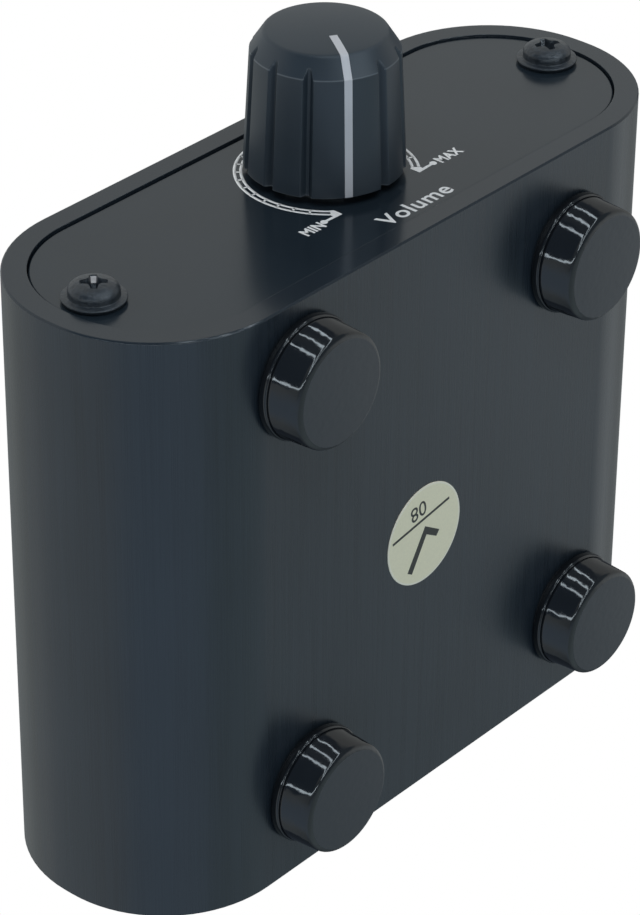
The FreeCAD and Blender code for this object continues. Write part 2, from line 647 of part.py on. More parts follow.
def wiper(gang_start):
    """Rotor on the spindle with a notch for its contact springs."""
    start = wiper_seat(gang_start)
    end = start + WIPER_THICKNESS
    radius = GANG_CAVITY_RADIUS - TURN_CLEARANCE
    rotor = ring(radius, SPINDLE_RADIUS + HUB_CLEARANCE, start, end)
    notch = block((-WIPER_NOTCH / 2, WIPER_NOTCH / 2), (start - CUT_OVERRUN, end + CUT_OVERRUN),
                  ((radius + SPINDLE_RADIUS) / 2, radius + CUT_OVERRUN))
    return turn_to_rest(rotor.cut(notch))


def pot_wiper_front():
    return wiper(FRONT_GANG)


def pot_wiper_rear():
    return wiper(REAR_GANG)


def terminal_places():
    """Centre of each potentiometer terminal, under its gang's wafer."""
    for start in (FRONT_ELEMENT, REAR_ELEMENT):
        for i in range(TERMINALS_PER_GANG):
            yield (i - (TERMINALS_PER_GANG - 1) / 2) * TERMINAL_PITCH, start + ELEMENT_THICKNESS / 2


def pin(x, y, width, thickness, top):
    """A flat pin from a piece above down through the board."""
    return block((x - width / 2, x + width / 2), (y - thickness / 2, y + thickness / 2),
                 (BOARD_BOTTOM - PIN_TAIL, top))


def pot_terminals():
    top = KNOB_Z - POT_HEIGHT / 2
    return group([pin(x, y, TERMINAL_WIDTH, TERMINAL_THICKNESS, top) for x, y in terminal_places()])


# ---------------------------------------------------------------- circuit board

def board_half_width():
    """Half the board's width: the bore's width at the board's lower face, less a gap."""
    return bore_half_width(BOARD_BOTTOM) - BOARD_SIDE_GAP


def circuit_board():
    half = board_half_width()
    board = block((-half, half), (PANEL_BACK + BOARD_END_GAP, REAR_PANEL_BACK - BOARD_END_GAP),
                  (BOARD_BOTTOM, BOARD_TOP))
    slots = [slot_for_pin(x, y, TERMINAL_WIDTH, TERMINAL_THICKNESS) for x, y in terminal_places()]
    slots += [slot_for_pin(x, y, SOCKET_PIN_WIDTH, SOCKET_PIN_THICKNESS) for x, y in socket_pin_places()]
    return board.cut(slots)


def slot_for_pin(x, y, width, thickness):
    """Cutter for the board's slot round a flat pin."""
    half_width = width / 2 + PIN_HOLE_GAP
    half_thickness = thickness / 2 + PIN_HOLE_GAP
    return block((x - half_width, x + half_width), (y - half_thickness, y + half_thickness),
                 (BOARD_BOTTOM - CUT_OVERRUN, BOARD_TOP + CUT_OVERRUN))


# ---------------------------------------------------------------- phono sockets

def rca_housing():
    """Moulded housing that stands on the board and holds the row of sockets against the rear panel."""
    front = REAR_PANEL_BACK - HOUSING_DEPTH
    half = HOUSING_HALF_WIDTH
    body = block((-half, half), (front, REAR_PANEL_BACK), (BOARD_TOP, HOUSING_TOP))
    long_edges = [edge for edge in edges_on_plane(body, front)
                  if all(abs(v.Point.z - HOUSING_TOP) < SAME for v in edge.Vertexes)]
    body = body.makeChamfer(HOUSING_EDGE, long_edges)
    tools = []
    for x in SOCKET_XS:
        seat = BARREL_RADIUS - BARREL_SHOULDER + BARREL_SEAT_GAP
        tools.append(rod(seat, BARREL_ROOT, REAR_PANEL_BACK + CUT_OVERRUN, x=x))
    for left, right in zip(SOCKET_XS, SOCKET_XS[1:]):
        middle = (left + right) / 2
        x_range = (middle - HOUSING_GROOVE / 2, middle + HOUSING_GROOVE / 2)
        tools.append(block(x_range, (front - CUT_OVERRUN, REAR_PANEL_BACK - HOUSING_EDGE),
                           (HOUSING_TOP - HOUSING_GROOVE, HOUSING_TOP + CUT_OVERRUN)))
    for x in FIXING_XS:
        tools.append(rod(FIXING_RADIUS + THREAD_CLEARANCE, REAR_PANEL_BACK - FIXING_LENGTH,
                         REAR_PANEL_BACK + CUT_OVERRUN, x=x, z=FIXING_Z))
    return body.cut(tools)


def barrel(x):
    """Plated outer contact: a tube that steps down where it enters the rear panel, seated in the housing."""
    inner = BARREL_RADIUS - BARREL_WALL
    outside = ring(BARREL_RADIUS, inner, REAR_PANEL_FACE, BARREL_MOUTH, x=x)
    return fused([outside, ring(BARREL_RADIUS - BARREL_SHOULDER, inner, BARREL_ROOT, REAR_PANEL_FACE, x=x)])


def rca_barrels():
    return group([barrel(x) for x in SOCKET_XS])


def insulator(x):
    """Coloured plug inside a barrel, round the centre contact."""
    outer = BARREL_RADIUS - BARREL_WALL - INSULATOR_GAP
    return ring(outer, CONTACT_RADIUS + INSULATOR_GAP, BARREL_ROOT, BARREL_MOUTH - INSULATOR_SETBACK, x=x)


def rca_insulators_white():
    return group([insulator(x) for x in SOCKET_XS[0::2]])


def rca_insulators_red():
    return group([insulator(x) for x in SOCKET_XS[1::2]])


def rca_contacts():
    """Centre contacts: tubes closed at their root."""
    mouth = BARREL_MOUTH - CONTACT_SETBACK
    bore_span = (mouth - CONTACT_BORE_DEPTH, mouth + CUT_OVERRUN)
    contacts = []
    for x in SOCKET_XS:
        tube = rod(CONTACT_RADIUS, BARREL_ROOT, mouth, x=x)
        contacts.append(tube.cut(rod(CONTACT_BORE_RADIUS, *bore_span, x=x)))
    return group(contacts)


def socket_pin_places():
    """Each socket's signal pin near the housing's front and ground pin near the panel."""
    front = REAR_PANEL_BACK - HOUSING_DEPTH
    for x in SOCKET_XS:
        yield x, front + SIGNAL_PIN_SETBACK
        yield x + GROUND_PIN_OFFSET, front + GROUND_PIN_SETBACK


def rca_pins():
    return group([pin(x, y, SOCKET_PIN_WIDTH, SOCKET_PIN_THICKNESS, BOARD_TOP)
                  for x, y in socket_pin_places()])


def rca_fixing_screws():
    """Self-tapping screws from the rear panel into the socket housing."""
    seat = REAR_PANEL_FACE
    top = seat + FIXING_HEAD_HEIGHT
    tip = seat - FIXING_LENGTH
    return group([turned([
        (0, top), (FIXING_HEAD_RADIUS - FIXING_CROWN_WIDTH, top),
        (FIXING_HEAD_RADIUS, top - FIXING_CROWN_DROP), (FIXING_HEAD_RADIUS, seat),
        (FIXING_RADIUS, seat), (FIXING_RADIUS, tip), (0, tip),
    ], x=x, z=FIXING_Z) for x in FIXING_XS])


# ---------------------------------------------------------------- output

PIECES = [
    case_sleeve, front_panel, rear_panel, front_panel_screws, rear_panel_screws,
    foot_adhesives, inspection_sticker, knob, knob_pointer,
    pot_shaft, pot_bushing, pot_washer, pot_nut, pot_housing_front, pot_element_front,
    pot_housing_rear, pot_element_rear, pot_rear_cover, pot_wiper_front, pot_wiper_rear, pot_terminals,
    circuit_board, rca_housing, rca_barrels, rca_insulators_white, rca_insulators_red, rca_contacts,
    rca_pins, rca_fixing_screws,
]


def export(shape, node):
    """Move a piece from the sleeve's frame to the object's origin and write it."""
    shape.translate(V(0, FRONT_Y, AXIS_Z))
    shape.exportStep("parts/" + node + ".step")


def main():
    os.makedirs("parts", exist_ok=True)
    for piece in PIECES:
        export(piece(), piece.__name__)
    for place in FOOT_PLACES:
        export(foot(place), "foot_" + place)


main()
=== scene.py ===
"""Studio monitor controller: the looks of its pieces round the packed model."""
import json
import math

import bmesh
import bpy
from bpy.props import FloatProperty, FloatVectorProperty, IntProperty, PointerProperty
from mathutils import Matrix, Vector


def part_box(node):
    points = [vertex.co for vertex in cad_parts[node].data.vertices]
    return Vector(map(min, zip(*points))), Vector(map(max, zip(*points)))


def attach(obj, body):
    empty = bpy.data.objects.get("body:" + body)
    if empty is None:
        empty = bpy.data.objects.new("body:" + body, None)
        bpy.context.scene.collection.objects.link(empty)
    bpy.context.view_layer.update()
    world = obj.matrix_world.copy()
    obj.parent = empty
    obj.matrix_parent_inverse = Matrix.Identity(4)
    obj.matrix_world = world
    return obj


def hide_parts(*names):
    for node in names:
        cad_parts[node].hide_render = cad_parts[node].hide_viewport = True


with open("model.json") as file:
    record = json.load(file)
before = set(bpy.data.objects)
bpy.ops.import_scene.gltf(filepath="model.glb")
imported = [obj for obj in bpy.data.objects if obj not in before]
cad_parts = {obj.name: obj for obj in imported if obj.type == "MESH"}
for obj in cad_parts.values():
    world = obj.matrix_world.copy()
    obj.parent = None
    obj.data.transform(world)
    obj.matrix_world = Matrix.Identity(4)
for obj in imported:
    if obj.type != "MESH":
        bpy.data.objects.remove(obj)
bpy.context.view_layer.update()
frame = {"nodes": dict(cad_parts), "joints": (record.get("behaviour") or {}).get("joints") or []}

bl_info = {
    "name": "Studio Monitor Controller",
    "version": (1, 0, 0),
    "blender": (4, 5, 0),
    "location": "3D View > Sidebar > Controller",
    "description": "Builds the case, knob, scale, feet and sockets of a passive studio monitor controller",
    "category": "Object",
}

MM = 0.001
# A piece is drawn with +Z outwards and +Y upwards. These turn it to stand on one of the outer faces.
ON_FRONT = Matrix.Rotation(math.radians(90), 4, "X")
ON_REAR = Matrix.Rotation(math.radians(180), 4, "Z") @ ON_FRONT
ON_UNDERSIDE = Matrix.Rotation(math.radians(180), 4, "X")


def length(label, description, millimetres):
    """A size in the panel, in metres."""
    return FloatProperty(name=label, description=description, default=millimetres * MM, min=0.0,
                         precision=5, unit="LENGTH")


def angle(label, description, degrees):
    """An angle in the panel, in radians."""
    return FloatProperty(name=label, description=description, default=math.radians(degrees),
                         subtype="ANGLE")


def colour(label, description, red, green, blue):
    """A colour in the panel."""
    return FloatVectorProperty(name=label, description=description, default=(red, green, blue), size=3,
                               min=0.0, max=1.0, subtype="COLOR")


# ---------------------------------------------------------------- sizes and colours

class ControllerKnobSizes(bpy.types.PropertyGroup):
    """Sizes of the knob's outside"""
    land_drop: length("Side taper", "How much the radius drops over the fluted side", 0.65)
    bevel_width: length("Bevel width", "How much the radius drops over the bevel", 1.35)
    bevel_height: length("Bevel height", "Height of the bevel", 2.05)
    dome: length("Dome", "How far the middle of the top face stands over its edge", 0.4)
    edge_round: length("Edge rounding", "Radius of the top face's edge", 0.6)
    flutes: IntProperty(name="Flute places", default=12, min=3,
                        description="Places round the knob, one of which holds the pointer")
    flute_width: length("Flute width", "Width of a flute at the surface", 1.2)
    flute_floor: length("Flute floor", "Width of a flute's floor", 0.35)
    flute_depth: length("Flute depth", "Depth of a flute", 0.65)
    wall: length("Wall", "Thickness of the skirt at its base", 1.8)
    roof: length("Roof", "Solid thickness over the cavity", 3.0)
    hub_radius: length("Hub radius", "Outside of the hub round the shaft", 4.43)
    rib_thickness: length("Rib thickness", "Thickness of the ribs between hub and skirt", 1.0)
    bore_radius: length("Bore radius", "Hub's bore", 3.03)
    pointer_width: length("Pointer width", "Width of the pointer line", 0.8)
    pointer_start: length("Pointer start", "From the knob's axis to the pointer's inner end", 2.4)
    pointer_turn: angle("Pointer at rest", "Clockwise from straight up, seen from the front", 212.0)


class ControllerScaleSizes(bpy.types.PropertyGroup):
    """Sizes of the print on the front panel"""
    centre_x: length("Centre X", "Print's centre to the right of the panel's middle", 0.05)
    centre_z: length("Centre Z", "Print's centre above the sleeve's axis", 0.93)
    inner_radius: length("Inner line", "Radius of the scale's inner line", 8.5)
    outer_radius: length("Outer line", "Radius of the scale's outer line", 9.15)
    line_width: length("Line width", "Width of the scale's two lines", 0.30)
    tick_width: length("Tick width", "Width of the marks between the lines", 0.22)
    start: angle("First mark", "Clockwise from straight up, seen from the front", 239.7)
    sweep: angle("Sweep", "From the first mark clockwise to the last", 239.8)
    overrun: angle("Overrun", "How far the lines run on past the first and the last mark", 13.2)
    cells: IntProperty(name="Cells", description="Spaces between the scale's marks", default=22, min=1)
    ink: length("Ink thickness", "How far the print stands proud", 0.015)
    small_letters: length("Small letters", "Height of the capitals at the scale's ends", 1.32)
    large_letters: length("Large letters", "Height of the capitals of the label under the knob", 2.0)


class ControllerScrewSizes(bpy.types.PropertyGroup):
    """Sizes of the panel screws"""
    head_radius: length("Head radius", "Radius of the pan head", 2.5)
    head_height: length("Head height", "Height of the pan head over its flange", 1.5)
    flange_radius: length("Flange radius", "Radius of the washer face", 3.25)
    flange_thickness: length("Flange thickness", "Thickness of the washer face", 0.6)
    shank_radius: length("Shank radius", "Outside radius of the thread", 1.5)
    shank_length: length("Shank length", "Length under the flange", 9.0)
    thread_pitch: length("Thread pitch", "Pitch of the thread", 0.5)
    recess_reach: length("Recess reach", "From the axis to the end of one arm of the cross", 1.4)
    recess_width: length("Recess width", "Width of the cross's arms", 0.98)
    recess_depth: length("Recess depth", "Depth of the cross", 1.5)


class ControllerFootSizes(bpy.types.PropertyGroup):
    """Sizes of the feet"""
    flange_thickness: length("Flange thickness", "Thickness of the foot's flange", 0.7)
    flange_width: length("Flange width", "How far the flange stands out past the body", 0.25)
    taper: length("Taper", "How much the body's radius drops towards its face", 0.25)
    edge_round: length("Face edge", "Rounding of the edge of the foot's face", 0.7)


class ControllerColours(bpy.types.PropertyGroup):
    """Base colours of the finishes"""
    anodised: colour("Anodised sleeve", "Dyed oxide of the sleeve", 0.0140, 0.0205, 0.0280)
    panel: colour("Panel", "Dyed oxide of the end panels", 0.0130, 0.0205, 0.0285)
    knob: colour("Knob", "Moulded knob", 0.0205, 0.0310, 0.0425)
    rubber: colour("Feet", "Moulded feet", 0.0070, 0.0085, 0.0110)
    black_steel: colour("Black steel", "Blackened screws", 0.0140, 0.0185, 0.0240)
    ink: colour("Print", "Ink of the scale and the letters", 0.86, 0.87, 0.87)
    pointer: colour("Pointer", "Inlay of the pointer", 0.56, 0.57, 0.60)
    sticker: colour("Sticker", "Face of the inspection sticker", 0.92, 0.86, 0.62)
    sticker_ink: colour("Sticker print", "Ink on the inspection sticker", 0.030, 0.031, 0.025)
    nickel: colour("Nickel", "Plated contacts of the sockets", 0.62, 0.59, 0.54)
    white_moulding: colour("White insulator", "Left channel's insulator", 0.70, 0.69, 0.65)
    red_moulding: colour("Red insulator", "Right channel's insulator", 0.42, 0.018, 0.014)


class ControllerStage(bpy.types.PropertyGroup):
    """Camera and light"""
    camera_place: FloatVectorProperty(name="Camera place", description="Where the camera stands", size=3,
                                      default=(-0.248892, -0.201063, -0.194041), subtype="TRANSLATION")
    camera_turn: FloatVectorProperty(name="Camera turn", description="The camera's turn about X, Y and Z",
                                     default=[math.radians(a) for a in (147.65475, 48.91895, -0.62698)],
                                     size=3, subtype="EULER")
    lens: FloatProperty(name="Lens", description="Focal length for a 36 mm wide frame, in millimetres",
                        default=147.243)
    shift_y: FloatProperty(name="Shift", description="Vertical shift of the frame", default=-0.0056)
    surroundings: FloatProperty(name="Surroundings", description="Strength of the light from all sides",
                                default=1.0)


SETTINGS = {
    "controller_knob": ControllerKnobSizes,
    "controller_scale": ControllerScaleSizes,
    "controller_screw": ControllerScrewSizes,
    "controller_foot": ControllerFootSizes,
    "controller_colours": ControllerColours,
    "controller_stage": ControllerStage,
}


# ---------------------------------------------------------------- nodes

class Signal:
    """A node's output. Arithmetic on it adds Math nodes."""

    def __init__(self, graph, socket):
        self.graph = graph
        self.socket = socket

    def output(self, name):
        """Another output of the same node."""
        return Signal(self.graph, self.socket.node.outputs[name])

    def math(self, operation, *others):
        """A Math node on this value and the others."""
        return self.graph.math(operation, self, *others)

    def __add__(self, other):
        return self.math("ADD", other)

    def __sub__(self, other):
        return self.math("SUBTRACT", other)

    def __rsub__(self, other):
        return self.graph.math("SUBTRACT", other, self)

    def __mul__(self, other):
        return self.math("MULTIPLY", other)

    def __gt__(self, other):
        return self.math("GREATER_THAN", other)

    def __lt__(self, other):
        return self.math("LESS_THAN", other)

    __radd__ = __add__
    __rmul__ = __mul__


class Graph:
    """A node tree that is filled from Python."""

    def __init__(self, tree):
        self.tree = tree

    def node(self, kind, settings=None, inputs=None, output=0):
        """Adds a node: its settings come first, then the values or links of its sockets."""
        made = self.tree.nodes.new(kind)
        for name, value in (settings or {}).items():
            setattr(made, name, value)
        for key, value in (inputs or {}).items():
            if isinstance(value, Signal):
                self.tree.links.new(value.socket, made.inputs[key])
            else:
                made.inputs[key].default_value = value
        return Signal(self, made.outputs[output] if len(made.outputs) else made.inputs[0])

    def math(self, operation, *operands):
        return self.node("ShaderNodeMath", {"operation": operation}, dict(enumerate(operands)))

    def mix(self, factor, first, second):
        """A colour between two colours."""
        return self.node("ShaderNodeMix", {"data_type": "RGBA"}, {0: factor, 6: first, 7: second}, 2)

    def span(self, value, low, high):
        """Maps 0 to 1 onto low to high."""
        return value * (high - low) + low

    def ramp(self, value, start, end, low=0.0, high=1.0, course="LINEAR"):
        """Low up to the start, high from the end on, with a straight or a smooth course between them."""
        return self.node("ShaderNodeMapRange", {"interpolation_type": course}, {
            "Value": value, "From Min": start, "From Max": end, "To Min": low, "To Max": high})

    def distance(self, first, second):
        """Distance from where both values are 0."""
        return (first * first + second * second).math("SQRT")


class Finish(Graph):
    """A material whose patterns are laid out in millimetres of the object's own space."""

    def __init__(self, name):
        self.material = bpy.data.materials.new(name)
        self.material.use_nodes = True
        super().__init__(self.material.node_tree)
        self.tree.nodes.clear()
        self.place = self.node("ShaderNodeTexCoord", output="Object")

    def noise(self, across, detail=2.0, stretch=(1.0, 1.0, 1.0)):
        """Noise with features this many millimetres across, longer along an axis where stretch is over 1."""
        scale = [1.0 / (MM * across * factor) for factor in stretch]
        laid = self.node("ShaderNodeMapping", inputs={"Vector": self.place, "Scale": scale})
        return self.node("ShaderNodeTexNoise", inputs={"Vector": laid, "Scale": 1.0, "Detail": detail})

    def axis(self, name):
        """One of the object's own coordinates."""
        return self.node("ShaderNodeSeparateXYZ", inputs={0: self.place}, output=name)

    def bump(self, height, strength, millimetres, below=None):
        """Relief this many millimetres high, on top of the relief below it."""
        inputs = {"Height": height, "Strength": strength, "Distance": millimetres * MM}
        if below:
            inputs["Normal"] = below
        return self.node("ShaderNodeBump", inputs=inputs)

    def surface(self, **inputs):
        """Principled surface; an input's name has underscores for spaces."""
        named = {name.replace("_", " "): value for name, value in inputs.items()}
        shader = self.node("ShaderNodeBsdfPrincipled", inputs=named)
        self.node("ShaderNodeOutputMaterial", inputs={"Surface": shader})
        return self.material


def rgba(shade, factor=1.0):
    """A shade made darker or lighter by a factor."""
    return (shade[0] * factor, shade[1] * factor, shade[2] * factor, 1.0)


# ---------------------------------------------------------------- finishes

def brushed_anodising(name, shade):
    """Black anodising over an extrusion brushed from end to end, milled smooth on its two end faces."""
    finish = Finish(name)
    low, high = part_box("case_sleeve")
    middle, half = (low.y + high.y) / 2, (high.y - low.y) / 2
    milled_edge = 0.2 * MM
    brushed = (finish.axis("Y") - middle).math("ABSOLUTE") < half - milled_edge
    fine = finish.noise(0.09, 3.0, (1.0, 140.0, 1.0))
    broad = finish.noise(0.8, 2.0, (1.0, 60.0, 1.0))
    cloud = finish.noise(14.0, 1.0)
    streak = (fine * 0.6 + broad * 0.4) * brushed
    depth = streak * 0.8 + cloud * 0.3 + (1.0 - brushed) * 0.38
    tone = finish.mix(depth, rgba(shade, 0.35), rgba(shade, 1.75))
    rough = finish.span(streak, 0.17, 0.40)
    grain = finish.noise(0.05)
    relief = finish.bump(streak + grain * 0.15, 0.30, 0.026)
    return finish.surface(Base_Color=tone, Roughness=rough, Normal=relief)


def satin_anodising(name, shade):
    """Black anodising over a bead-blasted plate."""
    finish = Finish(name)
    grain = finish.noise(0.07, 3.0)
    cloud = finish.noise(9.0, 2.0)
    tone = finish.mix(cloud, rgba(shade, 0.85), rgba(shade, 1.15))
    rough = finish.span(grain * 0.5 + cloud * 0.5, 0.15, 0.23)
    return finish.surface(Base_Color=tone, Roughness=rough, Normal=finish.bump(grain, 0.12, 0.008))


def black_oxide(name, shade):
    """Blackened steel with tumbling marks; a painted glint of pale steel colour lies in one place in the
    recess of a screw on the left.
    """
    finish = Finish(name)
    marks = finish.noise(0.40, 3.0)
    depth = finish.node("ShaderNodeAttribute", {"attribute_name": "glint_depth"}, output="Fac")
    on_left = finish.axis("X") < 0.0
    # Painted glint: pale steel colour on the walls at one arm's end, only on screws left of the middle.
    painted_glint = (depth > 0.22) * (depth < 0.80) * on_left * 0.8
    glint_tone = (0.75, 0.75, 0.76, 1.0)
    tone = finish.mix(marks, rgba(shade, 0.2), rgba(shade, 2.6))
    tone = finish.mix(painted_glint, tone, glint_tone)
    return finish.surface(Base_Color=tone, Roughness=finish.span(marks, 0.24, 0.48),
                          Normal=finish.bump(marks, 0.7, 0.10), Specular_IOR_Level=0.6)


def glossy_moulding(name, shade):
    """Glossy moulded foot with a matt face; its wall's gloss leans towards the face, as its draft does."""
    finish = Finish(name)
    height = finish.axis("Z")
    face = height < 0.03 * MM
    crest = 3.75  # height in millimetres at which the wall's lean turns back
    roll = 2.2  # height in millimetres below which the wall rolls towards the face
    lean = math.tan(math.radians(27))
    grain = finish.noise(0.12, 2.0)
    swirl = finish.noise(2.5, 1.0)
    ripple = finish.noise(0.9, 1.0)
    tone = finish.mix(face, finish.mix(swirl, rgba(shade, 0.8), rgba(shade, 1.2)), rgba(shade, 2.95))
    rough = finish.span(face, 0.06, 0.40) + swirl * 0.03
    wall = height.math("SMOOTH_MIN", 2 * crest * MM - height, 0.4 * MM) * (1 / MM)
    edge = (roll - wall).math("MAXIMUM", 0.0)
    draft = wall * lean - edge * edge * 0.05 + ripple * 0.02
    leaning = finish.bump(draft, 1.0, 1.0)
    relief = finish.bump(grain * (face * 0.9 + 0.1), 0.12, 0.01, leaning)
    return finish.surface(Base_Color=tone, Roughness=rough, Normal=relief, Specular_IOR_Level=0.54)


def spark_textured(finish, shade, roughness, grain_across=0.12, painted_highlight=None):
    """Gives a finish the fine spark texture of a mould, paler where a highlight is painted."""
    grain = finish.noise(grain_across, 2.0)
    flow = finish.noise(4.0, 2.0)
    tone = finish.mix(flow, rgba(shade, 0.88), rgba(shade, 1.12))
    if painted_highlight is not None:
        # Painted highlight: a pale grey-blue where an edge would catch the light.
        tone = finish.mix(painted_highlight * 0.8, tone, (0.095, 0.110, 0.125, 1.0))
    rough = finish.span(flow * 0.5 + grain * 0.5, roughness - 0.07, roughness + 0.07)
    return finish.surface(Base_Color=tone, Roughness=rough, Normal=finish.bump(grain, 0.15, 0.01))


def moulded_plastic(name, shade, roughness, grain_across=0.12):
    """Moulded plastic with the spark texture of its mould."""
    return spark_textured(Finish(name), shade, roughness, grain_across)


def knob_moulding(name, shade):
    """Moulded plastic with painted highlights: pale lines along the top of its fluted side and round its
    base.
    """
    finish = Finish(name)
    sizes = bpy.context.scene.controller_knob
    low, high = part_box("knob")
    shoulder = low.y + sizes.dome + sizes.bevel_height
    across, up, along = (finish.axis(name) for name in "XZY")
    radius = finish.distance(across - (low.x + high.x) / 2, up - (low.z + high.z) / 2)
    outside = radius > (high.x - low.x) / 2 - sizes.land_drop - 0.15 * MM

    def line_at(level, width):
        return finish.ramp((along - level).math("ABSOLUTE"), width * 0.3, width, 1.0, 0.0)

    # Painted highlights along the top edge of the fluted side and along the base's edge.
    painted_highlight = (line_at(shoulder, 0.10 * MM) + line_at(high.y, 0.15 * MM)) * outside
    return spark_textured(finish, shade, 0.40, painted_highlight=painted_highlight)


def printed_ink(name, shade):
    """Screen-printed ink, thin in places."""
    finish = Finish(name)
    cover = finish.noise(0.14, 2.0)
    tone = finish.mix(cover, rgba(shade, 0.82), rgba(shade, 1.1))
    return finish.surface(Base_Color=tone, Roughness=finish.span(cover, 0.42, 0.58),
                          Normal=finish.bump(cover, 0.2, 0.006))


def paper(name, shade):
    """Matt coated sticker paper, paler in a thin ring at its edge."""
    finish = Finish(name)
    low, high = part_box("inspection_sticker")
    across = finish.axis("X") - (low.x + high.x) / 2
    along = finish.axis("Y") - (low.y + high.y) / 2
    edge = finish.ramp(finish.distance(across, along), 5.40 * MM, 5.48 * MM)
    pale_rim_tone = (0.96, 0.91, 0.76, 1.0)
    fibres = finish.noise(0.25, 3.0)
    tone = finish.mix(fibres, rgba(shade, 0.93), rgba(shade, 1.05))
    tone = finish.mix(edge * 0.8, tone, pale_rim_tone)
    return finish.surface(Base_Color=tone, Roughness=finish.span(fibres, 0.45, 0.6),
                          Normal=finish.bump(fibres, 0.12, 0.01))


def plated_metal(name, shade, roughness):
    """Plated metal with faint lines round its turned faces."""
    finish = Finish(name)
    lines = finish.noise(0.12, 2.0, (40.0, 1.0, 40.0))
    cloud = finish.noise(1.2, 2.0)
    tone = finish.mix(cloud, rgba(shade, 0.85), rgba(shade, 1.0))
    rough = finish.span(lines, roughness - 0.08, roughness + 0.1)
    return finish.surface(Base_Color=tone, Metallic=1.0, Roughness=rough,
                          Normal=finish.bump(lines, 0.1, 0.008))


def laminate(name, shade, weave):
    """Board material with the glass weave showing faintly."""
    finish = Finish(name)
    warp, weft = finish.noise(weave, 1.0, (3.0, 1.0, 1.0)), finish.noise(weave, 1.0, (1.0, 3.0, 1.0))
    threads = warp * 0.5 + weft * 0.5
    tone = finish.mix(threads, rgba(shade, 0.75), rgba(shade, 1.25))
    return finish.surface(Base_Color=tone, Roughness=finish.span(threads, 0.3, 0.45),
                          Normal=finish.bump(threads, 0.15, 0.02))


FINISHES = {}


def finishes():
    """Makes every finish once and gives them by name."""
    if not FINISHES:
        shades = bpy.context.scene.controller_colours
        FINISHES.update({
            "anodised": brushed_anodising("brushed_black_anodising", shades.anodised),
            "panel": satin_anodising("satin_black_anodising", shades.panel),
            "black_steel": black_oxide("blackened_steel", shades.black_steel),
            "foot": glossy_moulding("black_foot_moulding", shades.rubber),
            "adhesive": moulded_plastic("adhesive_foam", (0.03, 0.03, 0.032), 0.8, 0.3),
            "sticker": paper("sticker_paper", shades.sticker),
            "sticker_ink": printed_ink("sticker_ink", shades.sticker_ink),
            "knob_plastic": knob_moulding("knob_moulding", shades.knob),
            "white_inlay": moulded_plastic("pointer_inlay", shades.pointer, 0.45, 0.08),
            "ink": printed_ink("panel_ink", shades.ink),
            "steel": plated_metal("shaft_steel", (0.55, 0.55, 0.56), 0.3),
            "zinc": plated_metal("die_cast_zinc", (0.46, 0.47, 0.49), 0.4),
            "nickel": plated_metal("nickel_plating", shades.nickel, 0.2),
            "tin": plated_metal("tinned_pins", (0.62, 0.62, 0.60), 0.35),
            "dark_moulding": moulded_plastic("black_housing_moulding", (0.02, 0.02, 0.022), 0.5),
            "light_moulding": moulded_plastic("wiper_moulding", (0.55, 0.53, 0.46), 0.5),
            "white_moulding": moulded_plastic("white_insulator_moulding", shades.white_moulding, 0.38),
            "red_moulding": moulded_plastic("red_insulator_moulding", shades.red_moulding, 0.36),
            "phenolic": laminate("phenolic_wafer", (0.16, 0.075, 0.03), 0.3),
            "board": laminate("circuit_board_laminate", (0.015, 0.09, 0.035), 0.4),
        })
    return FINISHES


# Nodes that keep their packed shape, and each one's finish.
CARRIED_OVER = {
    "foot_adhesives": "adhesive",
    "pot_shaft": "steel",
    "pot_bushing": "zinc",
    "pot_washer": "zinc",
    "pot_nut": "zinc",
    "pot_housing_front": "dark_moulding",
    "pot_housing_rear": "dark_moulding",
    "pot_element_front": "phenolic",
    "pot_element_rear": "phenolic",
    "pot_rear_cover": "tin",
    "pot_wiper_front": "light_moulding",
    "pot_wiper_rear": "light_moulding",
    "pot_terminals": "tin",
    "circuit_board": "board",
    "rca_housing": "dark_moulding",
    "rca_pins": "tin",
}


# ---------------------------------------------------------------- shapes

ON_AXIS = 1e-6  # a point of a turned shape nearer to the axis than this, in millimetres, is a pole
LETTER_DEPTH = 0.02  # thickness in millimetres that letters are made with, before they get their own


def rounded_path(corners, steps=6):
    """Points of a path through (x, y, radius) corners, in millimetres, each rounded by its radius."""
    path = []
    for i, (x, y, radius) in enumerate(corners):
        here = Vector((x, y))
        if not radius:
            path.append(here)
            continue
        back = (Vector(corners[i - 1][:2]) - here).normalized()
        ahead = (Vector(corners[i + 1][:2]) - here).normalized()
        half = back.angle(ahead) / 2
        centre = here + (back + ahead).normalized() * (radius / math.sin(half))
        start = here + back * (radius / math.tan(half)) - centre
        end = here + ahead * (radius / math.tan(half)) - centre
        turn = math.atan2(start.x * end.y - start.y * end.x, start.dot(end))
        path += [centre + Matrix.Rotation(turn * step / steps, 2) @ start for step in range(steps + 1)]
    return path


def turned_shape(shape, path, segments):
    """Adds a solid of revolution about Z to a bmesh, from (radius, height) points in millimetres."""
    turns = [2 * math.pi * i / segments for i in range(segments)]
    rings = []
    for radius, height in path:
        if radius < ON_AXIS:
            rings.append([shape.verts.new((0.0, 0.0, height * MM))])
            continue
        rings.append([shape.verts.new((radius * math.cos(a) * MM, radius * math.sin(a) * MM, height * MM))
                      for a in turns])
    join_rings(shape, rings)


def join_rings(shape, rings):
    """Adds the faces between rings of vertices; a ring of one vertex is a pole."""
    for lower, upper in zip(rings, rings[1:]):
        count = max(len(lower), len(upper))
        for i in range(count):
            j = (i + 1) % count
            around = ((lower, i), (lower, j), (upper, j), (upper, i))
            corners = list(dict.fromkeys(ring[k % len(ring)] for ring, k in around))
            if len(corners) > 2:
                shape.faces.new(corners)


def prism(shape, outline, low, high):
    """Adds a flat-topped solid over an outline of (x, y) points, in millimetres."""
    rings = [[shape.verts.new((x * MM, y * MM, z * MM)) for x, y in outline] for z in (low, high)]
    for ring in rings:
        shape.faces.new(ring)
    join_rings(shape, rings)


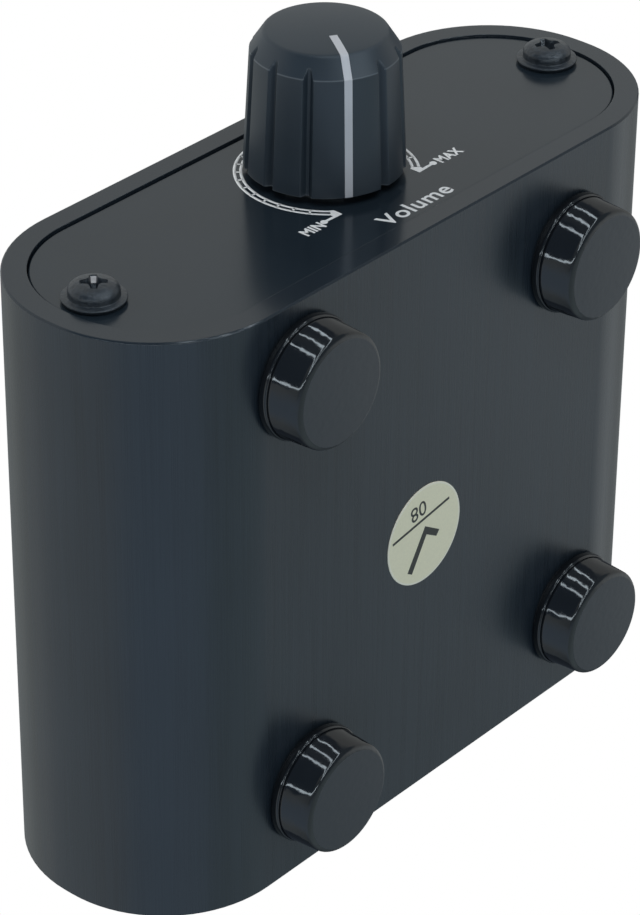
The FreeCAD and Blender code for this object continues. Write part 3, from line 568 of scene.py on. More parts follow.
def strip_along(shape, path, half_width, sink, rise):
    """Adds a strip of square section along a (distance from the axis, height) path, on the +Y side of Z."""
    rings = []
    for i, point in enumerate(path):
        before, after = path[max(i - 1, 0)], path[min(i + 1, len(path) - 1)]
        way = (after - before).normalized()
        out = Vector((-way.y, way.x)) if way.x > 0 or way.y < 0 else Vector((way.y, -way.x))
        low, high = point - out * sink, point + out * rise
        corners = [(-half_width, low), (half_width, low), (half_width, high), (-half_width, high)]
        rings.append([shape.verts.new((x * MM, p.x * MM, p.y * MM)) for x, p in corners])
    for ring in (rings[0], rings[-1]):
        shape.faces.new(ring)
    join_rings(shape, rings)


def mesh_of(name, shape):
    """Turns a bmesh into a mesh and frees it."""
    mesh = bpy.data.meshes.new(name)
    shape.to_mesh(mesh)
    shape.free()
    return mesh


def in_scene(name, data):
    """A new object in the scene."""
    made = bpy.data.objects.new(name, data)
    bpy.context.scene.collection.objects.link(made)
    return made


def shade_smoothly(mesh, sharp):
    """Shades a mesh smoothly, apart from edges sharper than this many degrees."""
    mesh.shade_smooth()
    mesh.set_sharp_from_angle(angle=math.radians(sharp))


def shaded_piece(name, shape, sharp):
    """Makes a piece from a bmesh, smooth but for its sharp edges."""
    mesh = mesh_of(name, shape)
    shade_smoothly(mesh, sharp)
    return in_scene(name, mesh)


def piece_from(name, shape, place=Matrix.Identity(4), sharp=30.0):
    """Makes a piece from a bmesh: in its place, facing outwards, smooth but for its sharp edges."""
    shape.transform(place)
    bmesh.ops.recalc_face_normals(shape, faces=shape.faces)
    return shaded_piece(name, shape, sharp)


def joined_copy(name, node, sharp=25.0):
    """A copy of a packed node with its loose triangles joined, so that its round faces shade smoothly."""
    shape = bmesh.new()
    shape.from_mesh(frame["nodes"][node].data)
    bmesh.ops.remove_doubles(shape, verts=shape.verts, dist=1e-4 * MM)
    bmesh.ops.dissolve_limit(shape, angle_limit=math.radians(0.4), verts=shape.verts, edges=shape.edges)
    return shaded_piece(name, shape, sharp)


def soften(piece, width):
    """Breaks a piece's sharp edges by this many millimetres and keeps its flat faces flat."""
    edge = piece.modifiers.new("edge", "BEVEL")
    edge.width = width * MM
    edge.segments = 2
    edge.limit_method = "ANGLE"
    edge.angle_limit = math.radians(35)
    edge.use_clamp_overlap = True
    settle(piece)
    weight = piece.modifiers.new("weight", "WEIGHTED_NORMAL")
    weight.keep_sharp = True


def settle(piece):
    """Turns a piece with its modifiers into a plain mesh."""
    ready = piece.evaluated_get(bpy.context.evaluated_depsgraph_get())
    mesh = bpy.data.meshes.new_from_object(ready)
    piece.modifiers.clear()
    piece.data = mesh


def dress(piece, finish, body="case", stands_for=()):
    """Gives a piece its finish and its body, and hides the nodes that it stands for."""
    piece.data.materials.clear()
    piece.data.materials.append(finishes()[finish])
    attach(piece, body)
    if stands_for:
        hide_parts(*stands_for)


class ShapeTree(Graph):
    """A Geometry Nodes tree with named inputs, and a finish for what it makes."""

    def __init__(self, name, inputs):
        tree = bpy.data.node_groups.new(name, "GeometryNodeTree")
        for label, kind in inputs + (("Finish", "Material"),):
            tree.interface.new_socket(label, in_out="INPUT", socket_type="NodeSocket" + kind)
        tree.interface.new_socket("Made", in_out="OUTPUT", socket_type="NodeSocketGeometry")
        super().__init__(tree)
        self.given = self.node("NodeGroupInput").output

    def close(self, geometry):
        """Ends the tree: instances made real, with the finish on them."""
        real = self.node("GeometryNodeRealizeInstances", inputs={"Geometry": geometry})
        done = self.node("GeometryNodeSetMaterial", inputs={
            "Geometry": real, "Material": self.given("Finish")})
        self.node("NodeGroupOutput", inputs={"Made": done})
        return self.tree


def copies_tree(name):
    """A tree that puts a copy of a piece on every point, each turned about Z by its own "turn"."""
    graph = ShapeTree(name, (("Points", "Geometry"), ("Piece", "Object"), ("Size", "Float")))
    given = graph.given
    shape = graph.node("GeometryNodeObjectInfo", inputs={"Object": given("Piece")}, output="Geometry")
    turn = graph.node("GeometryNodeInputNamedAttribute", {"data_type": "FLOAT_VECTOR"}, {"Name": "turn"})
    return graph.close(graph.node("GeometryNodeInstanceOnPoints", inputs={
        "Points": given("Points"), "Instance": shape, "Rotation": turn, "Scale": given("Size")}))


def run_nodes(piece, tree, **inputs):
    """Puts a tree on a piece, sets its named inputs and turns the result into a plain mesh."""
    modifier = piece.modifiers.new(tree.name, "NODES")
    modifier.node_group = tree
    sockets = {item.name: item.identifier for item in tree.interface.items_tree if item.in_out == "INPUT"}
    for label, value in inputs.items():
        modifier[sockets[label.replace("_", " ")]] = value
    settle(piece)


def repeated(name, pattern, spots, finish, place=Matrix.Identity(4), size=1.0):
    """Copies of a pattern piece at (x, y, z, turn) spots, in metres and radians, moved all together."""
    mesh = bpy.data.meshes.new(name)
    mesh.from_pydata([spot[:3] for spot in spots], [], [])
    turns = mesh.attributes.new("turn", "FLOAT_VECTOR", "POINT")
    for i, spot in enumerate(spots):
        turns.data[i].vector = (0.0, 0.0, spot[3])
    piece = in_scene(name, mesh)
    tree = bpy.data.node_groups.get("copies_on_points") or copies_tree("copies_on_points")
    run_nodes(piece, tree, Piece=pattern, Size=size, Finish=finishes()[finish])
    bpy.data.objects.remove(pattern)
    piece.data.transform(place)
    return piece


def lettering(text, height, width, x, y, low, high, weight=0.0, spacing=1.0):
    """Letters in millimetres, raised from low to high over the XY plane, centred on x and standing on y."""
    curve = bpy.data.curves.new("letters", "FONT")
    curve.body = text
    curve.offset = weight
    curve.space_character = spacing
    curve.extrude = LETTER_DEPTH / 2
    curve.resolution_u = 6
    words = in_scene("letters", curve)
    mesh = bpy.data.meshes.new_from_object(words.evaluated_get(bpy.context.evaluated_depsgraph_get()))
    bpy.data.objects.remove(words)
    least, most = (Vector([reach(vertex.co[i] for vertex in mesh.vertices) for i in range(2)])
                   for reach in (min, max))
    shape = bmesh.new()
    shape.from_mesh(mesh)
    bpy.data.meshes.remove(mesh)
    bmesh.ops.translate(shape, vec=(-(least.x + most.x) / 2, -least.y, 0.0), verts=shape.verts)
    scale = (width * MM / (most.x - least.x), height * MM / (most.y - least.y),
             (high - low) / LETTER_DEPTH * MM)
    bmesh.ops.scale(shape, vec=scale, verts=shape.verts)
    bmesh.ops.translate(shape, vec=(x * MM, y * MM, (low + high) / 2 * MM), verts=shape.verts)
    return shape


def merged(shapes):
    """One bmesh from several."""
    whole = bmesh.new()
    for shape in shapes:
        mesh = mesh_of("part", shape)
        whole.from_mesh(mesh)
        bpy.data.meshes.remove(mesh)
    return whole


# ---------------------------------------------------------------- operators

class CONTROLLER_OT_case(bpy.types.Operator):
    """Sleeve and end panels"""
    bl_idname = "controller.case"
    bl_label = "Case"

    def execute(self, context):
        sleeve = joined_copy("sleeve", "case_sleeve")
        soften(sleeve, 0.05)
        dress(sleeve, "anodised", stands_for=["case_sleeve"])
        for node in ("front_panel", "rear_panel"):
            panel = joined_copy(node + "_plate", node)
            soften(panel, 0.04)
            dress(panel, "panel", stands_for=[node])
        return {"FINISHED"}


class CONTROLLER_OT_screws(bpy.types.Operator):
    """Washer-head screws of both panels and the screws of the socket row"""
    bl_idname = "controller.screws"
    bl_label = "Screws"

    def execute(self, context):
        sizes = context.scene.controller_screw
        for node, panel, side, turns in (("front_panel_screws", "front_panel", 0, (45, 62)),
                                         ("rear_panel_screws", "rear_panel", 1, (12, 68))):
            self.pair(node + "_detailed", node, panel, side, self.panel_screw(sizes),
                      sizes.flange_radius, [math.radians(turn) for turn in turns])
        low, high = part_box("rca_fixing_screws")
        reach = (high.z - low.z) / 2
        head = (high.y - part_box("rear_panel")[1].y) / MM
        self.pair("socket_row_screws", "rca_fixing_screws", "rear_panel", 1,
                  self.fixing_screw(reach / MM, head), reach, (0.4, 1.1))
        return {"FINISHED"}

    def pair(self, name, node, panel, side, pattern, reach, turns):
        """A screw at each end of a node's box, on the front panel's face (side 0) or the rear one's (1)."""
        low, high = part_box(node)
        rightwards = (1, -1)[side]  # the drawn X, seen from the rear, runs the other way
        spots = [(x * rightwards, low.z + reach, 0.0, turn)
                 for x, turn in zip((low.x + reach, high.x - reach), turns)]
        place = Matrix.Translation((0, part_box(panel)[side].y, 0)) @ (ON_FRONT, ON_REAR)[side]
        screws = repeated(name, pattern, spots, "black_steel", place)
        dress(screws, "black_steel", stands_for=[node])

    def fixing_screw(self, radius, head):
        """A small pan-head screw without a flange."""
        shank, end = 1.1, -7.0
        path = self.pan_head(radius, 0.0, head)
        path += [Vector(corner) for corner in ((radius, 0), (shank, 0), (shank, end), (0, end))]
        return self.cut_cross("fixing", path, radius * 0.55, 0.6, 1.1, head)

    def panel_screw(self, sizes):
        """A washer-head screw with a thread."""
        head, flange, shank, pitch = (size / MM for size in (
            sizes.head_radius, sizes.flange_radius, sizes.shank_radius, sizes.thread_pitch))
        thread_depth, dish = 0.3, 0.3
        seat = sizes.flange_thickness / MM
        top = seat + sizes.head_height / MM
        path = self.pan_head(head, seat, top)
        path += rounded_path([
            (head, seat + 0.3, 0), (head, seat, 0.06), (flange, seat - 0.06, 0.12),
            (flange - dish, 0.05, 0), (flange - dish - 0.04, 0, 0), (shank, 0, 0)], 4)
        count = int(sizes.shank_length / sizes.thread_pitch)
        for i in range(count):
            path += [Vector((shank - thread_depth, -pitch * (i + 0.5))), Vector((shank, -pitch * (i + 1)))]
        path.append(Vector((0.0, -pitch * count)))
        return self.cut_cross("screw", path, sizes.recess_reach / MM, sizes.recess_width / MM,
                              sizes.recess_depth / MM, top)

    def pan_head(self, radius, seat, top):
        """Points of a head that is nearly flat in the middle and rounds over to its side."""
        side = (top - seat) * 0.3
        rise = top - seat - side
        fullness, steps = 0.8, 14
        bend = [math.radians(90 - 90 * step / steps) for step in range(steps)]
        over = [Vector((radius * math.cos(a) ** fullness, seat + side + rise * math.sin(a) ** fullness))
                for a in bend]
        return over + [Vector((radius, seat + side))]

    def cut_cross(self, name, path, reach, width, depth, top):
        """A turned screw with a cross recess whose arms narrow towards a pointed pit."""
        shape = bmesh.new()
        path[0] = Vector((0.0, path[0].y))
        turned_shape(shape, path, 64)
        screw = piece_from(name, shape)
        cutter = bmesh.new()
        half, inner = width / 2, width * 0.2
        narrowing = 0.65
        # The arms' height, reach and half width: over the mouth, well down, and at the bottom.
        levels = [(top + 0.4, reach * 1.12, half * 1.08), (top - depth * 0.7, reach * 0.62, half * 0.66),
                  (top - depth, reach * 0.22, half * 0.4)]
        rings = []
        for height, arm, side in levels:
            end = side * narrowing
            corner = [(arm, -end), (arm, end), (side + inner, side), (side, side + inner)]
            ring = []
            for quarter in range(4):
                spin = Matrix.Rotation(math.radians(90 * quarter), 2)
                ring += [spin @ Vector(point) for point in corner]
            rings.append([cutter.verts.new((p.x * MM, p.y * MM, height * MM)) for p in ring])
        for ring in (rings[0], rings[-1]):
            cutter.faces.new(ring)
        join_rings(cutter, rings)
        tool = piece_from(name + "_recess", cutter)
        cut = screw.modifiers.new("cross", "BOOLEAN")
        cut.object = tool
        cut.solver = "EXACT"
        settle(screw)
        bpy.data.objects.remove(tool)
        self.mark_glint_walls(screw.data, reach, depth, top)
        shade_smoothly(screw.data, 32)
        return screw

    def mark_glint_walls(self, mesh, reach, depth, top):
        """Stores how deep the recess's walls lie at the end of one arm, for the glint painted on them."""
        depths = mesh.attributes.new("glint_depth", "FLOAT", "CORNER")
        for face in mesh.polygons:
            place = face.center / MM
            inwards = face.normal.xy.dot(place.xy) < 0
            at_arm_end = place.x > 3 * abs(place.y)
            if top - depth < place.z < top - 0.1 and place.xy.length < reach and inwards and at_arm_end:
                for corner in face.loop_indices:
                    height = mesh.vertices[mesh.loops[corner].vertex_index].co.z / MM
                    depths.data[corner].value = top - height


class CONTROLLER_OT_feet(bpy.types.Operator):
    """Four stuck-on feet"""
    bl_idname = "controller.feet"
    bl_label = "Feet"

    def execute(self, context):
        sizes = context.scene.controller_foot
        nodes = sorted(name for name in frame["nodes"]
                       if name.startswith("foot_") and name != "foot_adhesives")
        boxes = [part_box(node) for node in nodes]
        low, high = boxes[0]
        radius, height = (high.x - low.x) / 2 / MM, (high.z - low.z) / MM
        flange = sizes.flange_thickness / MM
        waist = radius - sizes.flange_width / MM
        face = waist - sizes.taper / MM
        path = rounded_path([
            (0, 0, 0), (radius, 0, 0.08), (radius, flange, 0.25), (waist, flange, 0.15),
            (face, height, sizes.edge_round / MM), (0, height, 0)], 10)
        shape = bmesh.new()
        turned_shape(shape, path, 128)
        pattern = piece_from("foot", shape, ON_UNDERSIDE, 40)
        spots = [((lo.x + hi.x) / 2, (lo.y + hi.y) / 2, hi.z, 0.0) for lo, hi in boxes]
        feet = repeated("feet", pattern, spots, "foot")
        dress(feet, "foot", stands_for=nodes)
        return {"FINISHED"}


class CONTROLLER_OT_knob(bpy.types.Operator):
    """Fluted knob with its inlaid pointer"""
    bl_idname = "controller.knob"
    bl_label = "Knob"

    def execute(self, context):
        sizes = context.scene.controller_knob
        low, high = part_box("knob")
        axis = Vector(frame["joints"][0]["pos_m"])
        base_radius = (high.x - low.x) / 2 / MM
        dome = sizes.dome / MM
        height = (high.y - low.y) / MM - dome
        place = (Matrix.Translation((axis.x, high.y, axis.z)) @ ON_FRONT
                 @ Matrix.Rotation(-sizes.pointer_turn, 4, "Z"))
        land_radius = base_radius - sizes.land_drop / MM
        top_radius = land_radius - sizes.bevel_width / MM
        land = height - sizes.bevel_height / MM
        crown = [(top_radius * share, height + dome * (1 - share ** 2), 0)
                 for share in (0.0, 0.15, 0.3, 0.4, 0.5, 0.6, 0.7, 0.8)]
        edge = 0.12
        corners = crown + [(top_radius, height, sizes.edge_round / MM), (land_radius, land, edge),
                           (base_radius, 0, edge), (0, 0, 0)]
        # The flutes run out on the bevel, so its rings stand close together.
        outside = dense_path(rounded_path(corners)[:-1],
                             lambda point: 0.1 if land < point.y < height else 1.5)
        shape = merged([self.skin(sizes, outside, base_radius, land_radius, land),
                        self.hub(sizes, height, base_radius)])
        dress(piece_from("fluted_knob", shape, place, 40), "knob_plastic", "knob", stands_for=["knob"])
        line = bmesh.new()
        start = sizes.pointer_start / MM
        run = [point for point in outside if point.x > start]
        run.insert(0, Vector((start, height + dome * (1 - (start / top_radius) ** 2))))
        strip_along(line, run, sizes.pointer_width / MM / 2, sink=0.3, rise=0.02)
        pointer = piece_from("pointer_line", line, place, 50)
        dress(pointer, "white_inlay", "knob", stands_for=["knob_pointer"])
        return {"FINISHED"}

    def skin(self, sizes, outside, base_radius, land_radius, land):
        """The outside with its flutes, the base's edge and the walls and roof of the cavity."""
        taper = (base_radius - land_radius) / land
        half, floor = sizes.flute_width / MM / 2, sizes.flute_floor / MM / 2
        depth = sizes.flute_depth / MM
        sector = 2 * math.pi / sizes.flutes
        near = [0.0, floor * 0.5, floor * 0.8, floor, floor * 1.25]
        near += [floor + (half - floor) * share for share in (0.4, 0.6, 0.8, 0.92, 1.0, 1.08, 1.2, 1.5)]
        offsets = sorted({sign * aside / base_radius for aside in near for sign in (-1, 1)}
                         | {sector * (0.5 + share) for share in (-0.24, -0.12, 0.0, 0.12, 0.24)})
        turns = sorted({round(i * sector + offset, 6) for i in range(sizes.flutes) for offset in offsets})

        def radius_at(radius, height, turn):
            """The flutes narrow with the side that they are in and run out on the bevel."""
            place = round(turn / sector)
            if place % sizes.flutes == 0:
                return radius
            aside = abs(turn - place * sector) * base_radius
            share = softer_greater((aside - floor) / (half - floor), 0.0, 0.12)
            side = base_radius - taper * height
            groove = side * (1 - depth / base_radius * (1 - share))
            return -softer_greater(-radius, -groove, 0.06)

        cavity, draft = base_radius - sizes.wall / MM, 0.6
        roof = land + (sizes.bevel_height - sizes.roof) / MM
        inside = [Vector((cavity, 0.0)), Vector((cavity - draft, roof)), Vector((0.0, roof))]
        shape = bmesh.new()
        rings = []
        for point in outside + inside:
            if point.x < ON_AXIS:
                rings.append([shape.verts.new((0, 0, point.y * MM))])
                continue
            fluted = point.x > cavity + 0.2 or point.y > land
            ring = []
            for turn in turns:
                radius = radius_at(point.x, point.y, turn) if fluted else point.x
                spot = (-radius * math.sin(turn) * MM, radius * math.cos(turn) * MM, point.y * MM)
                ring.append(shape.verts.new(spot))
            rings.append(ring)
        join_rings(shape, rings)
        return shape

    def hub(self, sizes, height, base_radius):
        """The hub with its flatted bore and its ribs, from the cavity's roof to short of the bushing."""
        outer, bore = sizes.hub_radius / MM, sizes.bore_radius / MM
        flat = bore / 2
        clearance, overlap = 0.35, 0.1
        foot = (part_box("knob")[1].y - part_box("pot_bushing")[0].y) / MM + clearance
        roof = height - sizes.roof / MM + overlap
        bore_end = height - 2.0
        shape = bmesh.new()
        steps = 48
        rings = []
        for radius, level, flatted in ((outer, roof, False), (outer, foot, False), (bore, foot, True),
                                       (bore, bore_end, True)):
            ring = []
            for i in range(steps):
                turn = 2 * math.pi * i / steps
                x, y = radius * math.cos(turn), radius * math.sin(turn)
                if flatted:
                    y = max(y, -flat)
                ring.append(shape.verts.new((x * MM, y * MM, level * MM)))
            rings.append(ring)
        for ring in (rings[-1], rings[0]):
            shape.faces.new(ring)
        join_rings(shape, rings)
        half = sizes.rib_thickness / MM / 2
        inner, reach = outer - 0.15, base_radius - sizes.wall / MM + overlap  # sunk into hub and skirt
        rib = ((inner, -half), (reach, -half), (reach, half), (inner, half))
        for quarter in range(4):
            spin = Matrix.Rotation(math.radians(45 + 90 * quarter), 2)
            prism(shape, [tuple(spin @ Vector(corner)) for corner in rib], foot, roof)
        return shape


def softer_greater(first, second, blend):
    """The greater of two values, with a soft change from one to the other."""
    overlap = max(blend - abs(first - second), 0.0) / blend
    return max(first, second) + overlap * overlap * blend / 4


def dense_path(path, step_at):
    """A path with points added so that none are further apart than the step there."""
    dense = [path[0]]
    for before, after in zip(path, path[1:]):
        count = max(1, math.ceil((after - before).length / step_at((before + after) / 2)))
        dense += [before.lerp(after, (i + 1) / count) for i in range(count)]
    return dense


# Print at the scale's right end, in millimetres from its centre; the left end mirrors it.
SCALE_LEADER = ((6.6, -6.68), (8.2, -6.64), (8.2, -6.96), (6.6, -7.03))
SCALE_WEDGE = ((5.80, -5.92), (6.09, -5.70), (6.80, -6.42), (6.72, -6.72), (6.72, -7.03), (5.83, -7.06))
SCALE_DOT_PLACE, SCALE_DOT_RADIUS = (8.24, -6.80), 0.38


class CONTROLLER_OT_scale(bpy.types.Operator):
    """Printed scale and letters round the knob"""
    bl_idname = "controller.scale"
    bl_label = "Scale"

    def execute(self, context):
        sizes = context.scene.controller_scale
        low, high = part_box("case_sleeve")
        axis_z = (low.z + high.z) / 2
        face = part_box("front_panel")[0].y
        place = Matrix.Translation((sizes.centre_x, face, axis_z + sizes.centre_z)) @ ON_FRONT
        ink = sizes.ink / MM
        ring = in_scene("scale_ring", bpy.data.meshes.new("scale_ring"))
        run_nodes(ring, self.ring_tree(), Inner_Radius=sizes.inner_radius, Outer_Radius=sizes.outer_radius,
                  Line_Width=sizes.line_width, Tick_Width=sizes.tick_width, Start=sizes.start,
                  Sweep=sizes.sweep, Overrun=sizes.overrun, Cells=sizes.cells, Ink=sizes.ink,
                  Finish=finishes()["ink"])
        ring.data.transform(place)
        dress(ring, "ink")
        dot = [(SCALE_DOT_PLACE[0] + SCALE_DOT_RADIUS * math.cos(a),
                SCALE_DOT_PLACE[1] + SCALE_DOT_RADIUS * math.sin(a))
               for a in (math.radians(15 * i) for i in range(24))]
        overprint = 0.15  # how much thicker the ink of each further mark is, as it lies on the one before
        marks = bmesh.new()
        for side in (-1, 1):
            for i, outline in enumerate((SCALE_LEADER, SCALE_WEDGE, dot)):
                prism(marks, [(side * x, y) for x, y in outline], 0, ink * (1 + overprint * i))
        small, large = sizes.small_letters / MM, sizes.large_letters / MM
        words = [lettering("MIN", small, 2.75, -10.05, -7.58, 0, ink, weight=0.03, spacing=1.05),
                 lettering("MAX", small, 3.40, 10.62, -7.48, 0, ink, weight=0.03, spacing=1.05),
                 lettering("Volume", large, 10.0, 0.31, -12.05, 0, ink, weight=0.015, spacing=1.08)]
        dress(piece_from("scale_marks", merged([marks] + words), place), "ink")
        return {"FINISHED"}

    def ring_tree(self):
        """Geometry Nodes for two arcs with marks between them, drawn on XY and read clockwise from +Y."""
        sizes = ("Inner Radius", "Outer Radius", "Line Width", "Tick Width", "Start", "Sweep", "Overrun",
                 "Ink")
        graph = ShapeTree("printed_scale", tuple((size, "Float") for size in sizes) + (("Cells", "Int"),))
        given = graph.given
        inner, outer, ink = (given(size) for size in ("Inner Radius", "Outer Radius", "Ink"))

        def arc(radius, points, overrun=0.0):
            start = math.pi / 2 - given("Start") + overrun
            sweep = 0.0 - (given("Sweep") + overrun + overrun)
            return graph.node("GeometryNodeCurveArc", {"mode": "RADIUS"}, {
                "Resolution": points, "Radius": radius, "Start Angle": start, "Sweep Angle": sweep})

        section = graph.node("GeometryNodeCurvePrimitiveQuadrilateral", {"mode": "RECTANGLE"}, {
            "Width": given("Line Width"), "Height": ink})
        lines = [graph.node("GeometryNodeCurveToMesh", inputs={
            "Curve": arc(radius, 121, given("Overrun")), "Profile Curve": section, "Fill Caps": True})
            for radius in (inner, outer)]
        spots = graph.node("GeometryNodeCurveToPoints", {"mode": "COUNT"}, {
            "Curve": arc((inner + outer) * 0.5, 241), "Count": given("Cells") + 1})
        size = graph.node("ShaderNodeCombineXYZ", inputs={
            "X": outer - inner, "Y": given("Tick Width"), "Z": ink})
        tick = graph.node("GeometryNodeMeshCube", inputs={"Size": size})
        where = graph.node("GeometryNodeInputPosition")
        across = graph.node("ShaderNodeSeparateXYZ", inputs={0: where}, output="X")
        heading = graph.math("ARCTAN2", across.output("Y"), across)
        turn = graph.node("ShaderNodeCombineXYZ", inputs={"Z": heading})
        ticks = graph.node("GeometryNodeInstanceOnPoints", inputs={
            "Points": spots, "Instance": tick, "Rotation": turn})
        joined = graph.node("GeometryNodeJoinGeometry")
        for part in lines + [ticks]:
            graph.tree.links.new(part.socket, joined.socket.node.inputs[0])
        lift = graph.node("ShaderNodeCombineXYZ", inputs={"Z": ink * 0.5})
        return graph.close(graph.node("GeometryNodeTransform", inputs={
            "Geometry": joined, "Translation": lift}))


# The sticker's print, in millimetres from its middle.
STICKER_DIVIDER = ((-4.22, -1.95), (4.72, -1.95), (4.72, -1.67), (-4.22, -1.67))
STICKER_TICK = ((-2.25, 1.0), (-1.7, 1.5), (-0.3, 0.3), (2.5, 3.7), (3.1, 3.15), (-0.25, -0.8))
STICKER_TURN = math.radians(189.7)


class CONTROLLER_OT_sticker(bpy.types.Operator):
    """Round inspection sticker with a dividing line, a tick and a number"""
    bl_idname = "controller.sticker"
    bl_label = "Sticker"

    def execute(self, context):
        low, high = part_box("inspection_sticker")
        radius, thickness = (high.x - low.x) / 2 / MM, (high.z - low.z) / MM
        middle = Vector(((low.x + high.x) / 2, (low.y + high.y) / 2, high.z))
        place = Matrix.Translation(middle) @ ON_UNDERSIDE @ Matrix.Rotation(STICKER_TURN, 4, "Z")
        face = thickness - 0.02
        disc = bmesh.new()
        turned_shape(disc, rounded_path([(0, 0, 0), (radius, 0, 0), (radius, face, 0.03),
                                         (radius - 0.1, face, 0), (0, face, 0)], 3), 96)
        dress(piece_from("sticker_disc", disc, place), "sticker", stands_for=["inspection_sticker"])
        ink = (thickness - 0.03, thickness)
        marks = bmesh.new()
        for outline in (STICKER_DIVIDER, STICKER_TICK):
            prism(marks, outline, *ink)
        marks = merged([marks, lettering("08", 1.75, 2.35, 0.45, -4.1, *ink)])
        dress(piece_from("sticker_print", marks, place), "sticker_ink")
        return {"FINISHED"}


class CONTROLLER_OT_sockets(bpy.types.Operator):
    """Phono sockets"""
    bl_idname = "controller.sockets"
    bl_label = "Sockets"

    def execute(self, context):
        for node, name, finish in (("rca_barrels", "socket_barrels", "nickel"),
                                   ("rca_insulators_white", "white_insulators", "white_moulding"),
                                   ("rca_insulators_red", "red_insulators", "red_moulding"),
                                   ("rca_contacts", "centre_contacts", "nickel")):
            piece = joined_copy(name, node)
            soften(piece, 0.06)
            dress(piece, finish, stands_for=[node])
        return {"FINISHED"}


class CONTROLLER_OT_inner_pieces(bpy.types.Operator):
    """Finishes of the pieces that keep their packed shape"""
    bl_idname = "controller.inner_pieces"
    bl_label = "Inner Pieces"

    def execute(self, context):
        for node, finish in CARRIED_OVER.items():
            frame["nodes"][node].material_slots[0].material = finishes()[finish]
        return {"FINISHED"}


# The room's walls: the direction of each one's middle, the cosines of the angles from it where its tone
# starts and is full, and the tone. A later wall lies over the earlier ones.
ROOM_TONE = (0.225, 0.270, 0.300, 1.0)
WALLS = (
    ((-0.35, 0.55, -0.76), 0.82, 1.00, (0.51, 0.64, 0.78, 1.0)),
    ((-0.95, 0.30, 0.10), 0.35, 1.00, (0.64, 0.70, 0.72, 1.0)),
    ((-0.75, 0.50, -0.50), 0.86, 1.00, (0.50, 0.64, 0.80, 1.0)),
    ((0.25, 0.56, -0.79), 0.87, 0.96, (0.41, 0.51, 0.54, 1.0)),
    ((0.915, -0.404, 0.0), 0.31, 0.50, (0.75, 0.81, 0.83, 1.0)),
    ((-0.37, 0.53, 0.77), 0.95, 0.995, (0.60, 0.63, 0.63, 1.0)),
    ((0.30, -0.85, 0.45), -0.30, 0.00, (0.59, 0.61, 0.60, 1.0)),
    ((0.35, -0.42, -0.83), 0.80, 0.90, (0.20, 0.25, 0.29, 1.0)),
    ((0.09, 0.53, 0.85), 0.90, 0.98, (0.42, 0.44, 0.42, 1.0)),
    ((0.66, 0.60, 0.45), 0.76, 0.90, (0.27, 0.29, 0.29, 1.0)),
    ((0.97, 0.10, 0.22), 0.965, 0.975, (0.12, 0.13, 0.15, 1.0)),
    ((0.33, -0.93, -0.12), 0.86, 0.90, (0.12, 0.15, 0.19, 1.0)),
    ((0.18, 0.96, 0.20), 0.85, 0.87, (0.08, 0.10, 0.13, 1.0)),
    ((0.05, -0.78, -0.62), 0.87, 0.94, (0.18, 0.22, 0.26, 1.0)),
    ((-0.68, -0.70, -0.22), 0.74, 0.78, (0.10, 0.14, 0.19, 1.0)),
)
# Each soft box's name, place in metres and power in watts, and the side of both.
SOFT_BOXES = (("upper_box", (-0.20, -0.10, 0.60), 1.5), ("front_box", (-0.27, -0.81, -0.27), 3.5))
SOFT_BOX_SIDE = 0.50
# The ways in X and Y in which the strip lights stand. Each leans in from its top, beside the object, to its
# foot, far below it: distances from the Z axis and heights in metres.
STRIP_WAYS = ((0.500, -0.866), (0.174, -0.985), (-0.225, -0.974), (-0.972, -0.233))
STRIP_TOP, STRIP_FOOT, STRIP_WIDTH = (0.80, 0.07), (0.08, -1.0), 0.032


